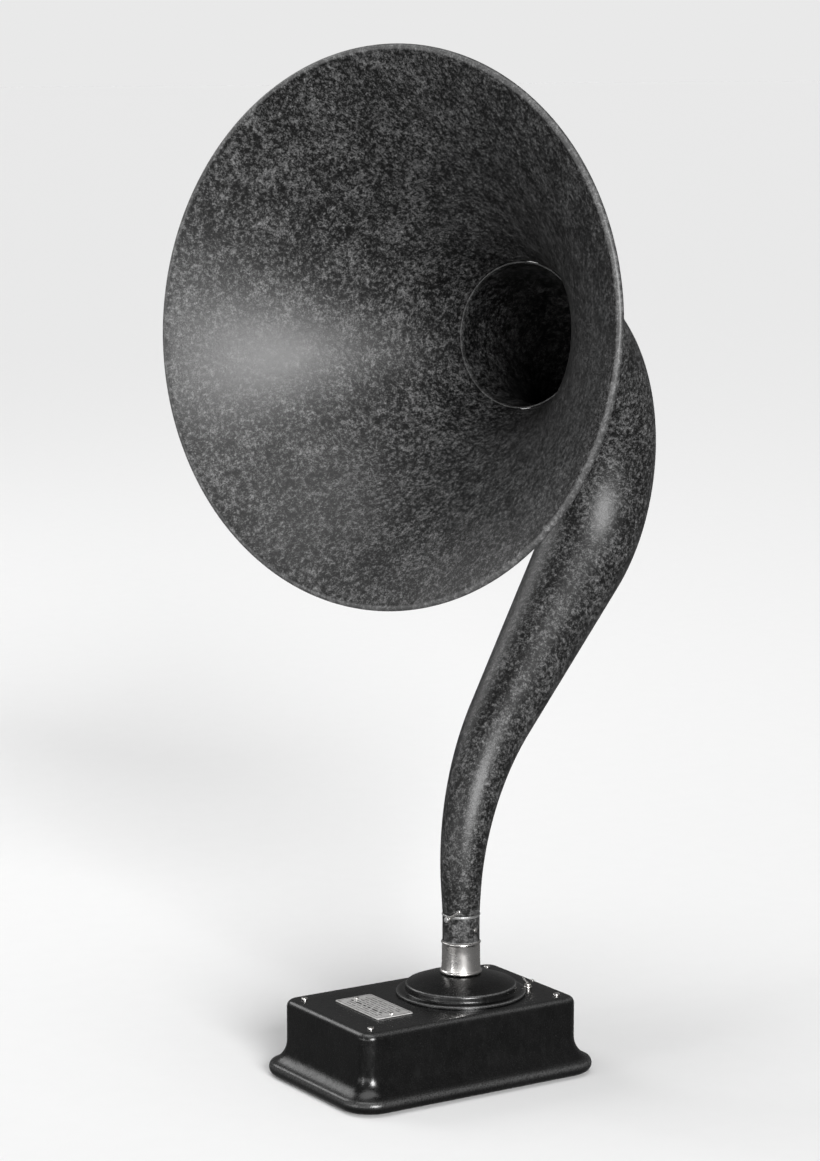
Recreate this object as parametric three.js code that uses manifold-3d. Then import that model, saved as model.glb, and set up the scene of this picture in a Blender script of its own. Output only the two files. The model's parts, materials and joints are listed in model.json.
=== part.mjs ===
// A table horn loudspeaker: a lacquered metal base that holds a moving-coil driver and its
// input transformer, a nickelled socket, and a gooseneck horn that swivels in the socket.
// Millimetres, +Z up. The origin is the centre of the base's underside, and the base's long
// side lies along X. The terminals are on the +X end, the nameplate near the -X end.

import * as THREE from 'three';
import { mergeVertices } from 'three/addons/utils/BufferGeometryUtils.js';
import { ParametricGeometry } from 'three/addons/geometries/ParametricGeometry.js';
import Module from 'manifold-3d';

const wasm = await Module();
wasm.setup();

// Driving dimensions.
const gap = 0.3; // left between pieces that rest on each other
const visibleSides = 28; // facets round a turned piece that shows
const hiddenSides = 20; // facets round a turned piece inside the base
const screwSides = 10;

const plinthLength = 248;
const plinthWidth = 167;
const plinthFlare = 15.5; // how far the plinth stands out from the body's wall
const bodyCorner = 13; // radius of the body's upright corners
const baseHeight = 67; // top of the casing
const casingWall = 2.8;
const casingFoot = 1.7; // lowest edge of the casing
const beadRadius = 6.5; // the round nose of the plinth
const coveTop = 32; // where the hollow moulding runs into the upright wall
const topEdgeRadius = 6;

const socketX = 31; // the driver, socket and horn share this upright axis
const hornTurn = THREE.MathUtils.degToRad(21.6); // the horn's heading away from -X at rest

const flangeRadius = 56;
const flangeHoleRadius = 41.5;
const boltCircle = 46;

const collarBase = 85;
const collarTop = 113;
const sleeveTop = 137.3;
const sleeveRadius = 16;
const ferruleRadius = 13;

const neckFootRadius = 15.4;
const neckFootSwell = 0.6; // the foot is a little stouter than the taper, to seat on the sleeve
const neckEndRadius = 63;
const neckWall = 1.4;
const lowerBendStart = 158.6; // height where the neck leaves the vertical
const lowerBendRadius = 195;
const lean = THREE.MathUtils.degToRad(45.8); // how far the neck leans back between its bends
const leaningLength = 170;
const upperBendRadius = 121.7;
const neckTail = 20.5; // straight length between the upper bend and the bell
const mouthTilt = THREE.MathUtils.degToRad(5.4); // the bell looks up by this much

const mouthRadius = 228.6; // an 18 inch bell, over its rolled rim
const bellDepth = 201.4; // from the throat to the middle of the rolled rim
const bellSheet = 1;
const rimRadius = 3.4;
const bellFlare = 1.3; // exponent of the bell's curve
const bellSides = 48;
const neckSides = 18;

const screwX = 94;
const screwY = 53;

const switchX = 88;
const switchY = -19;
const keyTurn = THREE.MathUtils.degToRad(-75);

const terminalPitch = 20;
const terminalHeight = 48;

const transformerX = -62;

const object = new THREE.Group();
const driver = new THREE.Group();
driver.position.x = socketX;
const horn = new THREE.Group();
horn.position.x = socketX;
horn.rotation.z = hornTurn;
object.add(driver, horn);

// Finishes.
const finish = (color, roughness, metalness) => ({ color, roughness, metalness });
const lacquer = finish(0x121212, 0.35, 0.2);
const hornEnamel = finish(0x1b1b1b, 0.55, 0.2);
const nickel = finish(0xbdbcb6, 0.22, 1);
const castIron = finish(0x3a3a3a, 0.6, 0.8);
const brass = finish(0xb08d4a, 0.35, 1);
const steel = finish(0x8c8c8c, 0.4, 1);
const duralumin = finish(0xc9c9cc, 0.4, 1);
const copper = finish(0x7a3b1c, 0.45, 0.5);
const fibre = finish(0x4a2f20, 0.8, 0);
const rubber = finish(0x161514, 0.5, 0);
const felt = finish(0x2c3a2a, 1, 0);
const clothWire = finish(0x6a5a34, 0.9, 0);
const silver = finish(0xa9a9a5, 0.4, 0.9);

// Turns a closed geometry into a solid whose faces point outwards.
function toSolid(geometry) {
  const bare = geometry.clone();
  bare.deleteAttribute('normal');
  bare.deleteAttribute('uv');
  const merged = mergeVertices(bare, 1e-4);
  const position = merged.getAttribute('position');
  const index = merged.getIndex().array;
  const triangles = [];
  const a = new THREE.Vector3();
  const b = new THREE.Vector3();
  const c = new THREE.Vector3();
  let volume = 0;
  for (let i = 0; i < index.length; i += 3) {
    const [p, q, r] = index.slice(i, i + 3);
    if (p === q || q === r || r === p) continue;
    triangles.push([p, q, r]);
    a.fromBufferAttribute(position, p);
    b.fromBufferAttribute(position, q);
    c.fromBufferAttribute(position, r);
    volume += a.dot(b.cross(c));
  }
  if (volume < 0) triangles.forEach((triangle) => triangle.reverse());
  return new wasm.Manifold(new wasm.Mesh({
    numProp: 3,
    vertProperties: new Float32Array(position.array),
    triVerts: new Uint32Array(triangles.flat()),
  }));
}

// Adds one named piece to a group.
function piece(parent, name, solid, { color, roughness, metalness }) {
  const result = solid.getMesh();
  const geometry = new THREE.BufferGeometry();
  geometry.setAttribute('position', new THREE.BufferAttribute(result.vertProperties, 3));
  geometry.setIndex(new THREE.BufferAttribute(result.triVerts, 1));
  geometry.computeVertexNormals();
  const material = new THREE.MeshStandardMaterial({ color, roughness, metalness });
  const mesh = new THREE.Mesh(geometry, material);
  mesh.name = name;
  parent.add(mesh);
  return mesh;
}

// A solid turned about Z from [radius, height] points. The profile starts and ends on the
// axis, or it is a ring's section and is closed here.
function turned(points, sides = hiddenSides) {
  const first = points[0];
  const last = points[points.length - 1];
  const closed = first[0] === 0 && last[0] === 0 ? points : [...points, first];
  const profile = closed.map(([radius, height]) => new THREE.Vector2(radius, height));
  return toSolid(new THREE.LatheGeometry(profile, sides).rotateX(Math.PI / 2));
}

function disc(radius, low, high, sides = hiddenSides) {
  return turned([[0, low], [radius, low], [radius, high], [0, high]], sides);
}

function tube(inner, outer, low, high, sides = hiddenSides) {
  return turned([[inner, low], [outer, low], [outer, high], [inner, high]], sides);
}

function block(sizeX, sizeY, sizeZ, x = 0, y = 0, z = 0) {
  return toSolid(new THREE.BoxGeometry(sizeX, sizeY, sizeZ).translate(x, y, z));
}

// A rod along +X from low to high.
function rodAlongX(radius, low, high, sides = screwSides) {
  return disc(radius, low, high, sides).rotate([0, 90, 0]);
}

// Points on an arc, angles in degrees.
function arc(centreR, centreZ, radius, from, to, steps) {
  return Array.from({ length: steps + 1 }, (_, i) => {
    const angle = THREE.MathUtils.degToRad(from + ((to - from) * i) / steps);
    return [centreR + radius * Math.cos(angle), centreZ + radius * Math.sin(angle)];
  });
}

// A block with rounded upright corners. The profile holds [offset, height] points, and an
// offset is measured outwards from the body's upright wall.
function roundedBlock(profile, cornerSteps = 4) {
  const coreX = plinthLength / 2 - plinthFlare - bodyCorner;
  const coreY = plinthWidth / 2 - plinthFlare - bodyCorner;
  const signs = [[1, 1], [-1, 1], [-1, -1], [1, -1]];
  const ring = signs.flatMap(([signX, signY], corner) =>
    Array.from({ length: cornerSteps + 1 }, (_, step) => {
      const angle = ((corner + step / cornerSteps) * Math.PI) / 2;
      return { x: coreX * signX, y: coreY * signY, dx: Math.cos(angle), dy: Math.sin(angle) };
    }));
  const rows = profile.length + 1;
  const surface = (u, v, target) => {
    const place = ring[Math.round(u * ring.length) % ring.length];
    const row = Math.round(v * rows);
    const [offset, height] = profile[THREE.MathUtils.clamp(row - 1, 0, profile.length - 1)];
    const reach = bodyCorner + offset;
    const isPole = row === 0 || row === rows;
    target.set(place.x + place.dx * reach, place.y + place.dy * reach, height);
    if (isPole) target.set(0, 0, height);
  };
  return toSolid(new ParametricGeometry(surface, ring.length, rows));
}

// The casing is one drawn shell: upright walls over a hollow moulding and a round nose.
function casingProfile(inset) {
  const noseX = plinthFlare - beadRadius;
  const noseZ = casingFoot + beadRadius;
  const creaseX = noseX + beadRadius * Math.SQRT1_2;
  const creaseZ = noseZ + beadRadius * Math.SQRT1_2;
  const drop = coveTop - creaseZ;
  const coveRadius = (creaseX * creaseX + drop * drop) / (2 * creaseX);
  const coveStart = 180 + THREE.MathUtils.radToDeg(Math.atan2(drop, coveRadius - creaseX));
  return [
    [noseX - 2.5, noseZ - beadRadius + inset],
    ...arc(noseX, noseZ, beadRadius - inset, -90, 45, 5),
    ...arc(coveRadius, coveTop, coveRadius + inset, coveStart, 180, 5),
    ...arc(-topEdgeRadius, baseHeight - topEdgeRadius, topEdgeRadius - inset, 0, 90, 3),
  ];
}

const rodAt = (radius, x, y, low, high) => disc(radius, low, high, screwSides).translate([x, y, 0]);
const corners = [[1, 1], [-1, 1], [-1, -1], [1, -1]];
const quarterTurns = [45, 135, 225, 315].map(THREE.MathUtils.degToRad);
const terminalYs = [1.5, 0.5, -0.5, -1.5].map((step) => step * terminalPitch);
const bodyEnd = plinthLength / 2 - plinthFlare;
const stripScrewY = 39;

const plateX = -57.5;
const plateWidth = 36;
const plateLength = 68;
const plateScrewY = 28;

function buildCasing() {
  const openingOffset = plinthFlare - beadRadius - 2.5;
  let shell = roundedBlock(casingProfile(0));
  const below = [openingOffset, casingFoot - 3];
  shell = shell.subtract(roundedBlock([below, ...casingProfile(casingWall)]));
  const ceiling = baseHeight - casingWall - 5;
  const above = baseHeight + 5;
  const driverHole = disc(flangeHoleRadius, ceiling, above, visibleSides);
  shell = shell.subtract(driverHole.translate([socketX, 0, 0]));
  for (const [signX, signY] of corners) {
    shell = shell.subtract(rodAt(2.3, signX * screwX, signY * screwY, ceiling, above));
  }
  for (const angle of quarterTurns) {
    const x = socketX + boltCircle * Math.cos(angle);
    const y = boltCircle * Math.sin(angle);
    shell = shell.subtract(rodAt(2.4, x, y, ceiling, above));
  }
  for (const y of [-plateScrewY, plateScrewY]) {
    shell = shell.subtract(rodAt(1.4, plateX, y, ceiling, above));
  }
  shell = shell.subtract(rodAt(3.5, switchX, switchY, ceiling, above));
  for (const y of terminalYs) {
    shell = shell.subtract(rodAlongX(3.6, bodyEnd - 6, bodyEnd + 3).translate([0, y, terminalHeight]));
  }
  for (const y of [-stripScrewY, stripScrewY]) {
    shell = shell.subtract(rodAlongX(1.5, bodyEnd - 6, bodyEnd + 3).translate([0, y, terminalHeight]));
  }
  piece(object, 'base_casing', shell, lacquer);
}

// The bottom cover closes the casing and carries four pillars for the casing's screws.
const feltThickness = 1.5;
const coverLow = feltThickness + gap;
const coverHigh = coverLow + 2.6;
const pillarTop = baseHeight - casingWall - gap;
const strapFootX = 36.5; // the transformer's strap is screwed down this far from its middle

function buildBottom() {
  const offset = plinthFlare - beadRadius - 2.5 - gap;
  let cover = roundedBlock([[offset, coverLow], [offset, coverHigh]]);
  for (const [signX, signY] of corners) {
    cover = cover.add(rodAt(5, signX * screwX, signY * screwY, coverLow + 1, pillarTop));
    cover = cover.subtract(rodAt(2.2, signX * screwX, signY * screwY, pillarTop - 20, pillarTop + 1));
  }
  for (const side of [-1, 1]) {
    cover = cover.subtract(rodAt(1.9, transformerX + side * strapFootX, 0, coverLow - 1, coverHigh + 1));
  }
  piece(object, 'bottom_cover', cover, castIron);
  piece(object, 'felt_pad', roundedBlock([[offset - 1.5, 0], [offset - 1.5, feltThickness]]), felt);
}

// A round-headed screw standing on z = 0 with its shank below and a slot across its head.
function screw(headRadius, headHeight, shankRadius, shankLength, slot = 0.7) {
  let solid = turned([
    [0, -shankLength],
    [shankRadius, -shankLength],
    [shankRadius, 0],
    [headRadius, 0],
    [headRadius, headHeight * 0.45],
    [headRadius * 0.7, headHeight * 0.85],
    [0, headHeight],
  ], screwSides);
  solid = solid.subtract(block(headRadius * 3, slot, headHeight * 0.9, 0, 0, headHeight));
  return solid;
}

function buildCasingScrews() {
  corners.forEach(([signX, signY], i) => {
    const solid = screw(2.9, 1.7, 1.9, 15).rotate([0, 0, 30 + 40 * i]);
    const place = [signX * screwX, signY * screwY, baseHeight + gap];
    piece(object, `top_screw_${i + 1}`, solid.translate(place), nickel);
  });
}

function buildNameplate() {
  const thickness = 0.8;
  const low = baseHeight + gap;
  let plate = block(plateWidth, plateLength, thickness, plateX, 0, low + thickness / 2);
  [-plateScrewY, plateScrewY].forEach((y, i) => {
    plate = plate.subtract(rodAt(1.4, plateX, y, low - 1, low + 2));
    const solid = screw(2, 1.1, 1, 4.5, 0.5).rotate([0, 0, 25 + 60 * i]);
    const place = [plateX, y, low + thickness + gap];
    piece(object, `nameplate_screw_${i + 1}`, solid.translate(place), nickel);
  });
  piece(object, 'nameplate', plate, silver);
}

// The driver hangs under the casing's top. Heights run down the stack from the flange.
const flangeLow = baseHeight + gap;
const capRingLow = 61;
const rimInner = 32.5; // inside of the clamped rim of the diaphragm
const rimOuter = 39.5;
const seatTop = 57.9;
const seatLow = 53.9;
const plateTop = 53.6;
const plateLow = 46.6;
const ironRadius = 50;
const potRadius = 36;
const potLow = 10;
const potFloor = 17;
const poleRadius = 12;

function withBoltHoles(solid, low, high) {
  let drilled = solid;
  for (const angle of quarterTurns) {
    const x = boltCircle * Math.cos(angle);
    const y = boltCircle * Math.sin(angle);
    drilled = drilled.subtract(rodAt(2.4, x, y, low, high));
  }
  return drilled;
}

function buildFlange() {
  const bore = 9;
  const shoulder = 48; // the dome's edge, above the flange
  const section = [
    [ferruleRadius, collarBase],
    [24, 83.4],
    [36, 80.2],
    ...arc(shoulder - 2.5, 74, 2.5, 75, 0, 3),
    [shoulder + 0.4, 71.5],
    [shoulder + 2.6, 69.6],
    ...arc(flangeRadius - 1, 68.5, 1, 90, 0, 2),
    [flangeRadius, flangeLow],
    [flangeHoleRadius - 1, flangeLow],
    [flangeHoleRadius - 1, capRingLow],
    [rimInner, capRingLow],
    [bore + 3, 68],
    [bore, 71],
    [bore, 75],
    [ferruleRadius, 75],
  ];
  const cap = withBoltHoles(turned(section, visibleSides), flangeLow - 5, 73);
  piece(driver, 'dome_flange', cap, lacquer);
}

function buildDiaphragmStack() {
  piece(driver, 'upper_gasket', tube(rimInner, rimOuter, 59.9, 60.7), fibre);
  piece(driver, 'lower_gasket', tube(rimInner, rimOuter, 58.2, 59), fibre);
  const sheet = 0.3;
  const face = [
    [rimOuter, 59.3],
    [rimInner, 59.3],
    [30.5, 60.4],
    [28.5, 59],
    [26.5, 60.4],
    [14.5, 59.3],
    [11.5, 59.3],
    [7, 62.2],
  ];
  const under = [...face].reverse();
  const over = face.map(([radius, height]) => [radius, height + sheet]);
  const section = [[0, 63], ...under, ...over, [0, 63 + sheet]];
  piece(driver, 'diaphragm', turned(section), duralumin);
  const seat = turned([
    [rimInner, seatLow],
    [ironRadius, seatLow],
    [ironRadius, pillarTop],
    [flangeHoleRadius, pillarTop],
    [flangeHoleRadius, seatTop],
    [rimInner, seatTop],
  ]);
  piece(driver, 'seat_ring', withBoltHoles(seat, seatLow - 1, pillarTop + 1), castIron);
}

function buildMagnet() {
  const plate = tube(13.9, ironRadius, plateLow, plateTop);
  piece(driver, 'front_pole_plate', withBoltHoles(plate, plateLow - 1, plateTop + 1), castIron);
  const pot = turned([
    [0, potLow],
    [potRadius, potLow],
    [potRadius, plateLow - gap],
    [31.5, plateLow - gap],
    [31.5, potFloor],
    [0, potFloor],
  ]);
  const leadHole = rodAlongX(4.2, 28, potRadius + 3).translate([0, 0, 40]);
  piece(driver, 'field_pot', pot.subtract(leadHole), castIron);
  piece(driver, 'centre_pole', disc(poleRadius, potFloor + gap, plateTop), castIron);
  const spoolLow = potFloor + 0.6;
  const spoolHigh = plateLow - 0.6;
  const cheek = 1.4;
  piece(driver, 'field_coil_bobbin', turned([
    [12.4, spoolLow],
    [30.8, spoolLow],
    [30.8, spoolLow + cheek],
    [13.8, spoolLow + cheek],
    [13.8, spoolHigh - cheek],
    [30.8, spoolHigh - cheek],
    [30.8, spoolHigh],
    [12.4, spoolHigh],
  ]), fibre);
  const windingLow = spoolLow + cheek + gap;
  const windingHigh = spoolHigh - cheek - gap;
  piece(driver, 'field_coil_winding', tube(14.1, 29.5, windingLow, windingHigh), copper);
}

function buildVoiceCoil() {
  piece(driver, 'voice_coil_former', tube(12.35, 12.65, 48.5, 59), fibre);
  piece(driver, 'voice_coil_winding', tube(12.95, 13.4, 48.8, 53), copper);
}

function buildDriverBolts() {
  quarterTurns.forEach((angle, i) => {
    const bolt = screw(3.2, 2.2, 2, 25).rotate([180, 0, 20 * i]);
    const x = boltCircle * Math.cos(angle);
    const y = boltCircle * Math.sin(angle);
    piece(driver, `driver_bolt_${i + 1}`, bolt.translate([x, y, plateLow - gap]), steel);
  });
}

// The input transformer stands on the bottom cover, held down by a strap.
function buildTransformer() {
  const coreX = 54;
  const coreY = 24;
  const coreZ = 44;
  const windowX = 9;
  const windowZ = 26;
  const legX = 18;
  const low = coverHigh + gap;
  const middle = low + coreZ / 2;
  let core = block(coreX, coreY, coreZ, transformerX, 0, middle);
  for (const side of [-1, 1]) {
    const x = transformerX + (side * (legX + windowX)) / 2;
    core = core.subtract(block(windowX, coreY + 2, windowZ, x, 0, middle));
  }
  piece(object, 'transformer_core', core, castIron);
  // The spool and the winding are square sleeves round the middle leg.
  const sleeve = (reachIn, reachOut, height) => {
    const outer = block(legX + 2 * reachOut, coreY + 2 * reachOut, height, transformerX, 0, middle);
    return outer.subtract(block(legX + 2 * reachIn, coreY + 2 * reachIn, height + 2, transformerX, 0, middle));
  };
  const spoolHeight = windowZ - 2 * gap;
  const spool = sleeve(gap, 1.3, spoolHeight);
  piece(object, 'transformer_bobbin', spool, fibre);
  piece(object, 'transformer_winding', sleeve(1.6, windowX - 1, spoolHeight - 2), copper);
  const strapWidth = 14;
  const strap = 1.6;
  const wallX = coreX / 2 + gap;
  const outline = new THREE.Shape();
  outline.moveTo(-wallX - 14, 0);
  outline.lineTo(-wallX, 0);
  outline.lineTo(-wallX, coreZ + gap);
  outline.lineTo(wallX, coreZ + gap);
  outline.lineTo(wallX, 0);
  outline.lineTo(wallX + 14, 0);
  outline.lineTo(wallX + 14, strap);
  outline.lineTo(wallX + strap, strap);
  outline.lineTo(wallX + strap, coreZ + gap + strap);
  outline.lineTo(-wallX - strap, coreZ + gap + strap);
  outline.lineTo(-wallX - strap, strap);
  outline.lineTo(-wallX - 14, strap);
  const ribbon = new THREE.ExtrudeGeometry(outline, { depth: strapWidth, bevelEnabled: false });
  ribbon.rotateX(Math.PI / 2).translate(transformerX, strapWidth / 2, low);
  let bracket = toSolid(ribbon);
  [-1, 1].forEach((side, i) => {
    const x = transformerX + side * strapFootX;
    bracket = bracket.subtract(rodAt(1.9, x, 0, low - 1, low + strap + 1));
    const solid = screw(2.8, 1.8, 1.5, 4).rotate([0, 0, 50 * i]);
    const place = [x, 0, low + strap + gap];
    piece(object, `transformer_screw_${i + 1}`, solid.translate(place), steel);
  });
  piece(object, 'transformer_bracket', bracket, steel);
}

// Four binding posts on a hard rubber strip on the base's +X end.
const stripThickness = 5;
const stripFace = bodyEnd + gap + stripThickness;

function buildTerminals() {
  const stripX = bodyEnd + gap + stripThickness / 2;
  let strip = block(stripThickness, 90, 16, stripX, 0, terminalHeight);
  const holeFrom = stripX - stripThickness;
  const holeTo = stripX + stripThickness;
  terminalYs.forEach((y, i) => {
    const place = [0, y, terminalHeight];
    strip = strip.subtract(rodAlongX(2.3, holeFrom, holeTo).translate(place));
    let post = rodAlongX(2, bodyEnd - 9, stripFace + 8.2);
    post = post.add(rodAlongX(4.6, stripFace + gap, stripFace + 1.5, 6));
    piece(object, `terminal_post_${i + 1}`, post.translate(place), brass);
    let nut = rodAlongX(5, stripFace + 2, stripFace + 7.4, 18);
    nut = nut.subtract(rodAlongX(2.3, stripFace, stripFace + 10));
    for (let notch = 0; notch < 6; notch += 1) {
      const groove = rodAlongX(0.8, stripFace, stripFace + 10, 6).translate([0, 0, 5.2]);
      nut = nut.subtract(groove.rotate([60 * notch, 0, 0]));
    }
    piece(object, `terminal_nut_${i + 1}`, nut.translate(place), nickel);
  });
  [-stripScrewY, stripScrewY].forEach((y, i) => {
    const place = [0, y, terminalHeight];
    strip = strip.subtract(rodAlongX(1.5, holeFrom, holeTo).translate(place));
    const solid = screw(2.6, 1.5, 1.2, 8.5).rotate([0, 90, 0]);
    const x = stripFace + gap;
    piece(object, `strip_screw_${i + 1}`, solid.translate([x, y, terminalHeight]), nickel);
  });
  piece(object, 'terminal_strip', strip, rubber);
}

// A snap switch for the field coil, turned by a small winged key.
function buildSwitch() {
  const switchGroup = new THREE.Group();
  switchGroup.position.set(switchX, switchY, 0);
  object.add(switchGroup);
  piece(switchGroup, 'switch_body', disc(8, 46, pillarTop), rubber);
  const bushTop = 68.6;
  piece(switchGroup, 'switch_bush', turned([
    [2.1, pillarTop + gap],
    [3.2, pillarTop + gap],
    [3.2, flangeLow],
    [3.8, flangeLow],
    [3.8, 67.9],
    [3.5, 68.2],
    [3, 68.2],
    [2.9, bushTop],
    [2.1, bushTop],
  ], 16), nickel);
  const hubLow = bushTop + gap;
  const hubHigh = hubLow + 1.4;
  const shaft = disc(1.8, pillarTop + 2, hubLow + 1, screwSides);
  const hub = disc(3, hubLow, hubHigh, 16);
  const earTop = 75;
  const wing = new THREE.Shape();
  wing.moveTo(-2.6, hubLow + 0.6);
  wing.lineTo(2.6, hubLow + 0.6);
  wing.lineTo(6.2, earTop - 2.4);
  wing.absarc(4.9, earTop - 1.4, 1.4, -0.6, Math.PI * 0.85, false);
  wing.lineTo(0, hubHigh + 0.8);
  wing.absarc(-4.9, earTop - 1.4, 1.4, Math.PI * 0.15, Math.PI + 0.6, false);
  const blade = new THREE.ExtrudeGeometry(wing, { depth: 2, bevelEnabled: false, curveSegments: 5 });
  blade.translate(0, 0, -1).rotateX(Math.PI / 2);
  const key = shaft.add(hub).add(toSolid(blade));
  piece(switchGroup, 'switch_key', key, nickel).rotation.z = keyTurn;
}

// The nickelled socket, the enamelled sleeve that grips the neck, and its locking lever.
const leverX = 17; // inner face of the lever, from the socket's axis
const leverTurn = 17; // the stud's heading away from -X, in degrees
const leverThickness = 2;
const leverHeight = 134.5;
const leverLength = 17;
const leverTilt = THREE.MathUtils.degToRad(34);
const setScrewHeight = 124.5;
const setScrewTurn = -75;

function buildSocket() {
  const spigot = 12.7;
  piece(driver, 'socket_collar', turned([
    [9.5, 75.4],
    [spigot, 75.4],
    [spigot, collarBase + gap],
    ...arc(16.8, collarBase + gap + 1.4, 1.4, -90, 60, 4),
    [17.1, 88.4],
    [16.5, 95],
    [16.4, 110.8],
    ...arc(16.2, collarTop - 0.9, 0.9, -40, 90, 3),
    [ferruleRadius, collarTop],
    [ferruleRadius, 98],
    [9.5, 98],
  ], visibleSides), nickel);
  let sleeve = turned([
    [10.5, 99],
    [spigot, 99],
    [spigot, collarTop + gap],
    [sleeveRadius, collarTop + gap],
    [sleeveRadius, sleeveTop - 2],
    ...arc(sleeveRadius - 0.2, sleeveTop - 0.8, 0.8, -60, 90, 3),
    [ferruleRadius + gap, sleeveTop],
    [ferruleRadius + gap, 117],
    [10.5, 117],
  ], visibleSides);
  const studLow = -leverX - leverThickness - 1.6;
  const rod = rodAlongX(1.3, studLow, -14.8);
  const stud = rod.add(rodAlongX(2.3, studLow, studLow + 1.2, 16)).translate([0, 0, leverHeight]);
  const screwHole = rodAlongX(1.7, 12, 18).translate([0, 0, setScrewHeight]);
  sleeve = sleeve.add(stud.rotate([0, 0, leverTurn]));
  sleeve = sleeve.subtract(screwHole.rotate([0, 0, setScrewTurn]));
  piece(driver, 'coupling_sleeve', sleeve, hornEnamel);
  const setScrew = screw(2.1, 1.4, 1.4, 2.3, 0.6).rotate([0, 90, 0]);
  const seated = setScrew.translate([sleeveRadius + 0.2, 0, setScrewHeight]);
  piece(driver, 'sleeve_set_screw', seated.rotate([0, 0, setScrewTurn]), nickel);
}

function buildLever() {
  const outline = new THREE.Shape();
  outline.absarc(0, 0, 2.8, 0.5, Math.PI * 2 - 0.5, false);
  outline.lineTo(leverLength - 2, -0.9);
  outline.absarc(leverLength - 1.6, 0, 1.6, -0.9, 0.9, false);
  outline.lineTo(leverLength - 2, 0.9);
  const settings = { depth: leverThickness, bevelEnabled: false, curveSegments: 10 };
  const arm = new THREE.ExtrudeGeometry(outline, settings);
  // The arm lies in the YZ plane and points to -Y, tilted up, before it is turned about Z.
  arm.rotateY(-Math.PI / 2).rotateX(Math.PI / 2).rotateX(-leverTilt);
  arm.translate(-leverX, 0, leverHeight);
  const hole = rodAlongX(1.6, -25, -10).translate([0, 0, leverHeight]);
  const turnedLever = toSolid(arm).subtract(hole).rotate([0, 0, leverTurn]);
  piece(driver, 'lock_lever', turnedLever, nickel);
}

// The gooseneck's centre line in the horn's own upright plane: X points backwards.
const neckFoot = sleeveTop + gap;

function neckLine() {
  const line = new THREE.Path();
  const lowerCentre = new THREE.Vector2(lowerBendRadius, lowerBendStart);
  line.moveTo(0, neckFoot);
  line.lineTo(0, lowerBendStart);
  line.absarc(lowerCentre.x, lowerCentre.y, lowerBendRadius, Math.PI, Math.PI - lean, true);
  const leanStart = line.currentPoint.clone();
  const backwards = new THREE.Vector2(Math.sin(lean), Math.cos(lean));
  const leanEnd = leanStart.addScaledVector(backwards, leaningLength);
  line.lineTo(leanEnd.x, leanEnd.y);
  const upperX = leanEnd.x - upperBendRadius * Math.cos(lean);
  const upperZ = leanEnd.y + upperBendRadius * Math.sin(lean);
  line.absarc(upperX, upperZ, upperBendRadius, -lean, Math.PI / 2 - mouthTilt, false);
  const heading = new THREE.Vector2(-Math.cos(mouthTilt), Math.sin(mouthTilt));
  const end = line.currentPoint.clone().addScaledVector(heading, neckTail);
  line.lineTo(end.x, end.y);
  line.arcLengthDivisions = 400;
  return line;
}

const neck = neckLine();
const neckLength = neck.getLength();
const throat = neck.getPointAt(1);
const neckRadius = (s) =>
  THREE.MathUtils.lerp(neckFootRadius, neckEndRadius, s / neckLength) + neckFootSwell * Math.exp(-s / 25);

function buildNeck() {
  const steps = 24;
  const stations = Array.from({ length: steps + 1 }, (_, i) => (neckLength * i) / steps);
  const outside = stations.map((s) => new THREE.Vector2(neckRadius(s), s));
  const inside = stations.map((s) => new THREE.Vector2(neckRadius(s) - neckWall, s)).reverse();
  const straight = new THREE.LatheGeometry([...outside, ...inside, outside[0]], neckSides);
  // Bend the straight taper along the centre line.
  const position = straight.getAttribute('position');
  for (let i = 0; i < position.count; i += 1) {
    const along = THREE.MathUtils.clamp(position.getY(i) / neckLength, 0, 1);
    const centre = neck.getPointAt(along);
    const tangent = neck.getTangentAt(along);
    const across = position.getX(i);
    position.setXYZ(
      i,
      centre.x + tangent.y * across,
      position.getZ(i),
      centre.y - tangent.x * across,
    );
  }
  piece(horn, 'gooseneck', toSolid(straight), hornEnamel);
  piece(horn, 'neck_ferrule', turned([
    [11.6, 117.3],
    [ferruleRadius, 117.3],
    [ferruleRadius, neckFoot],
    [13.6, neckFoot],
    [13.6, neckFoot + 12],
    [11.6, neckFoot + 12],
  ], visibleSides), brass);
}

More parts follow.
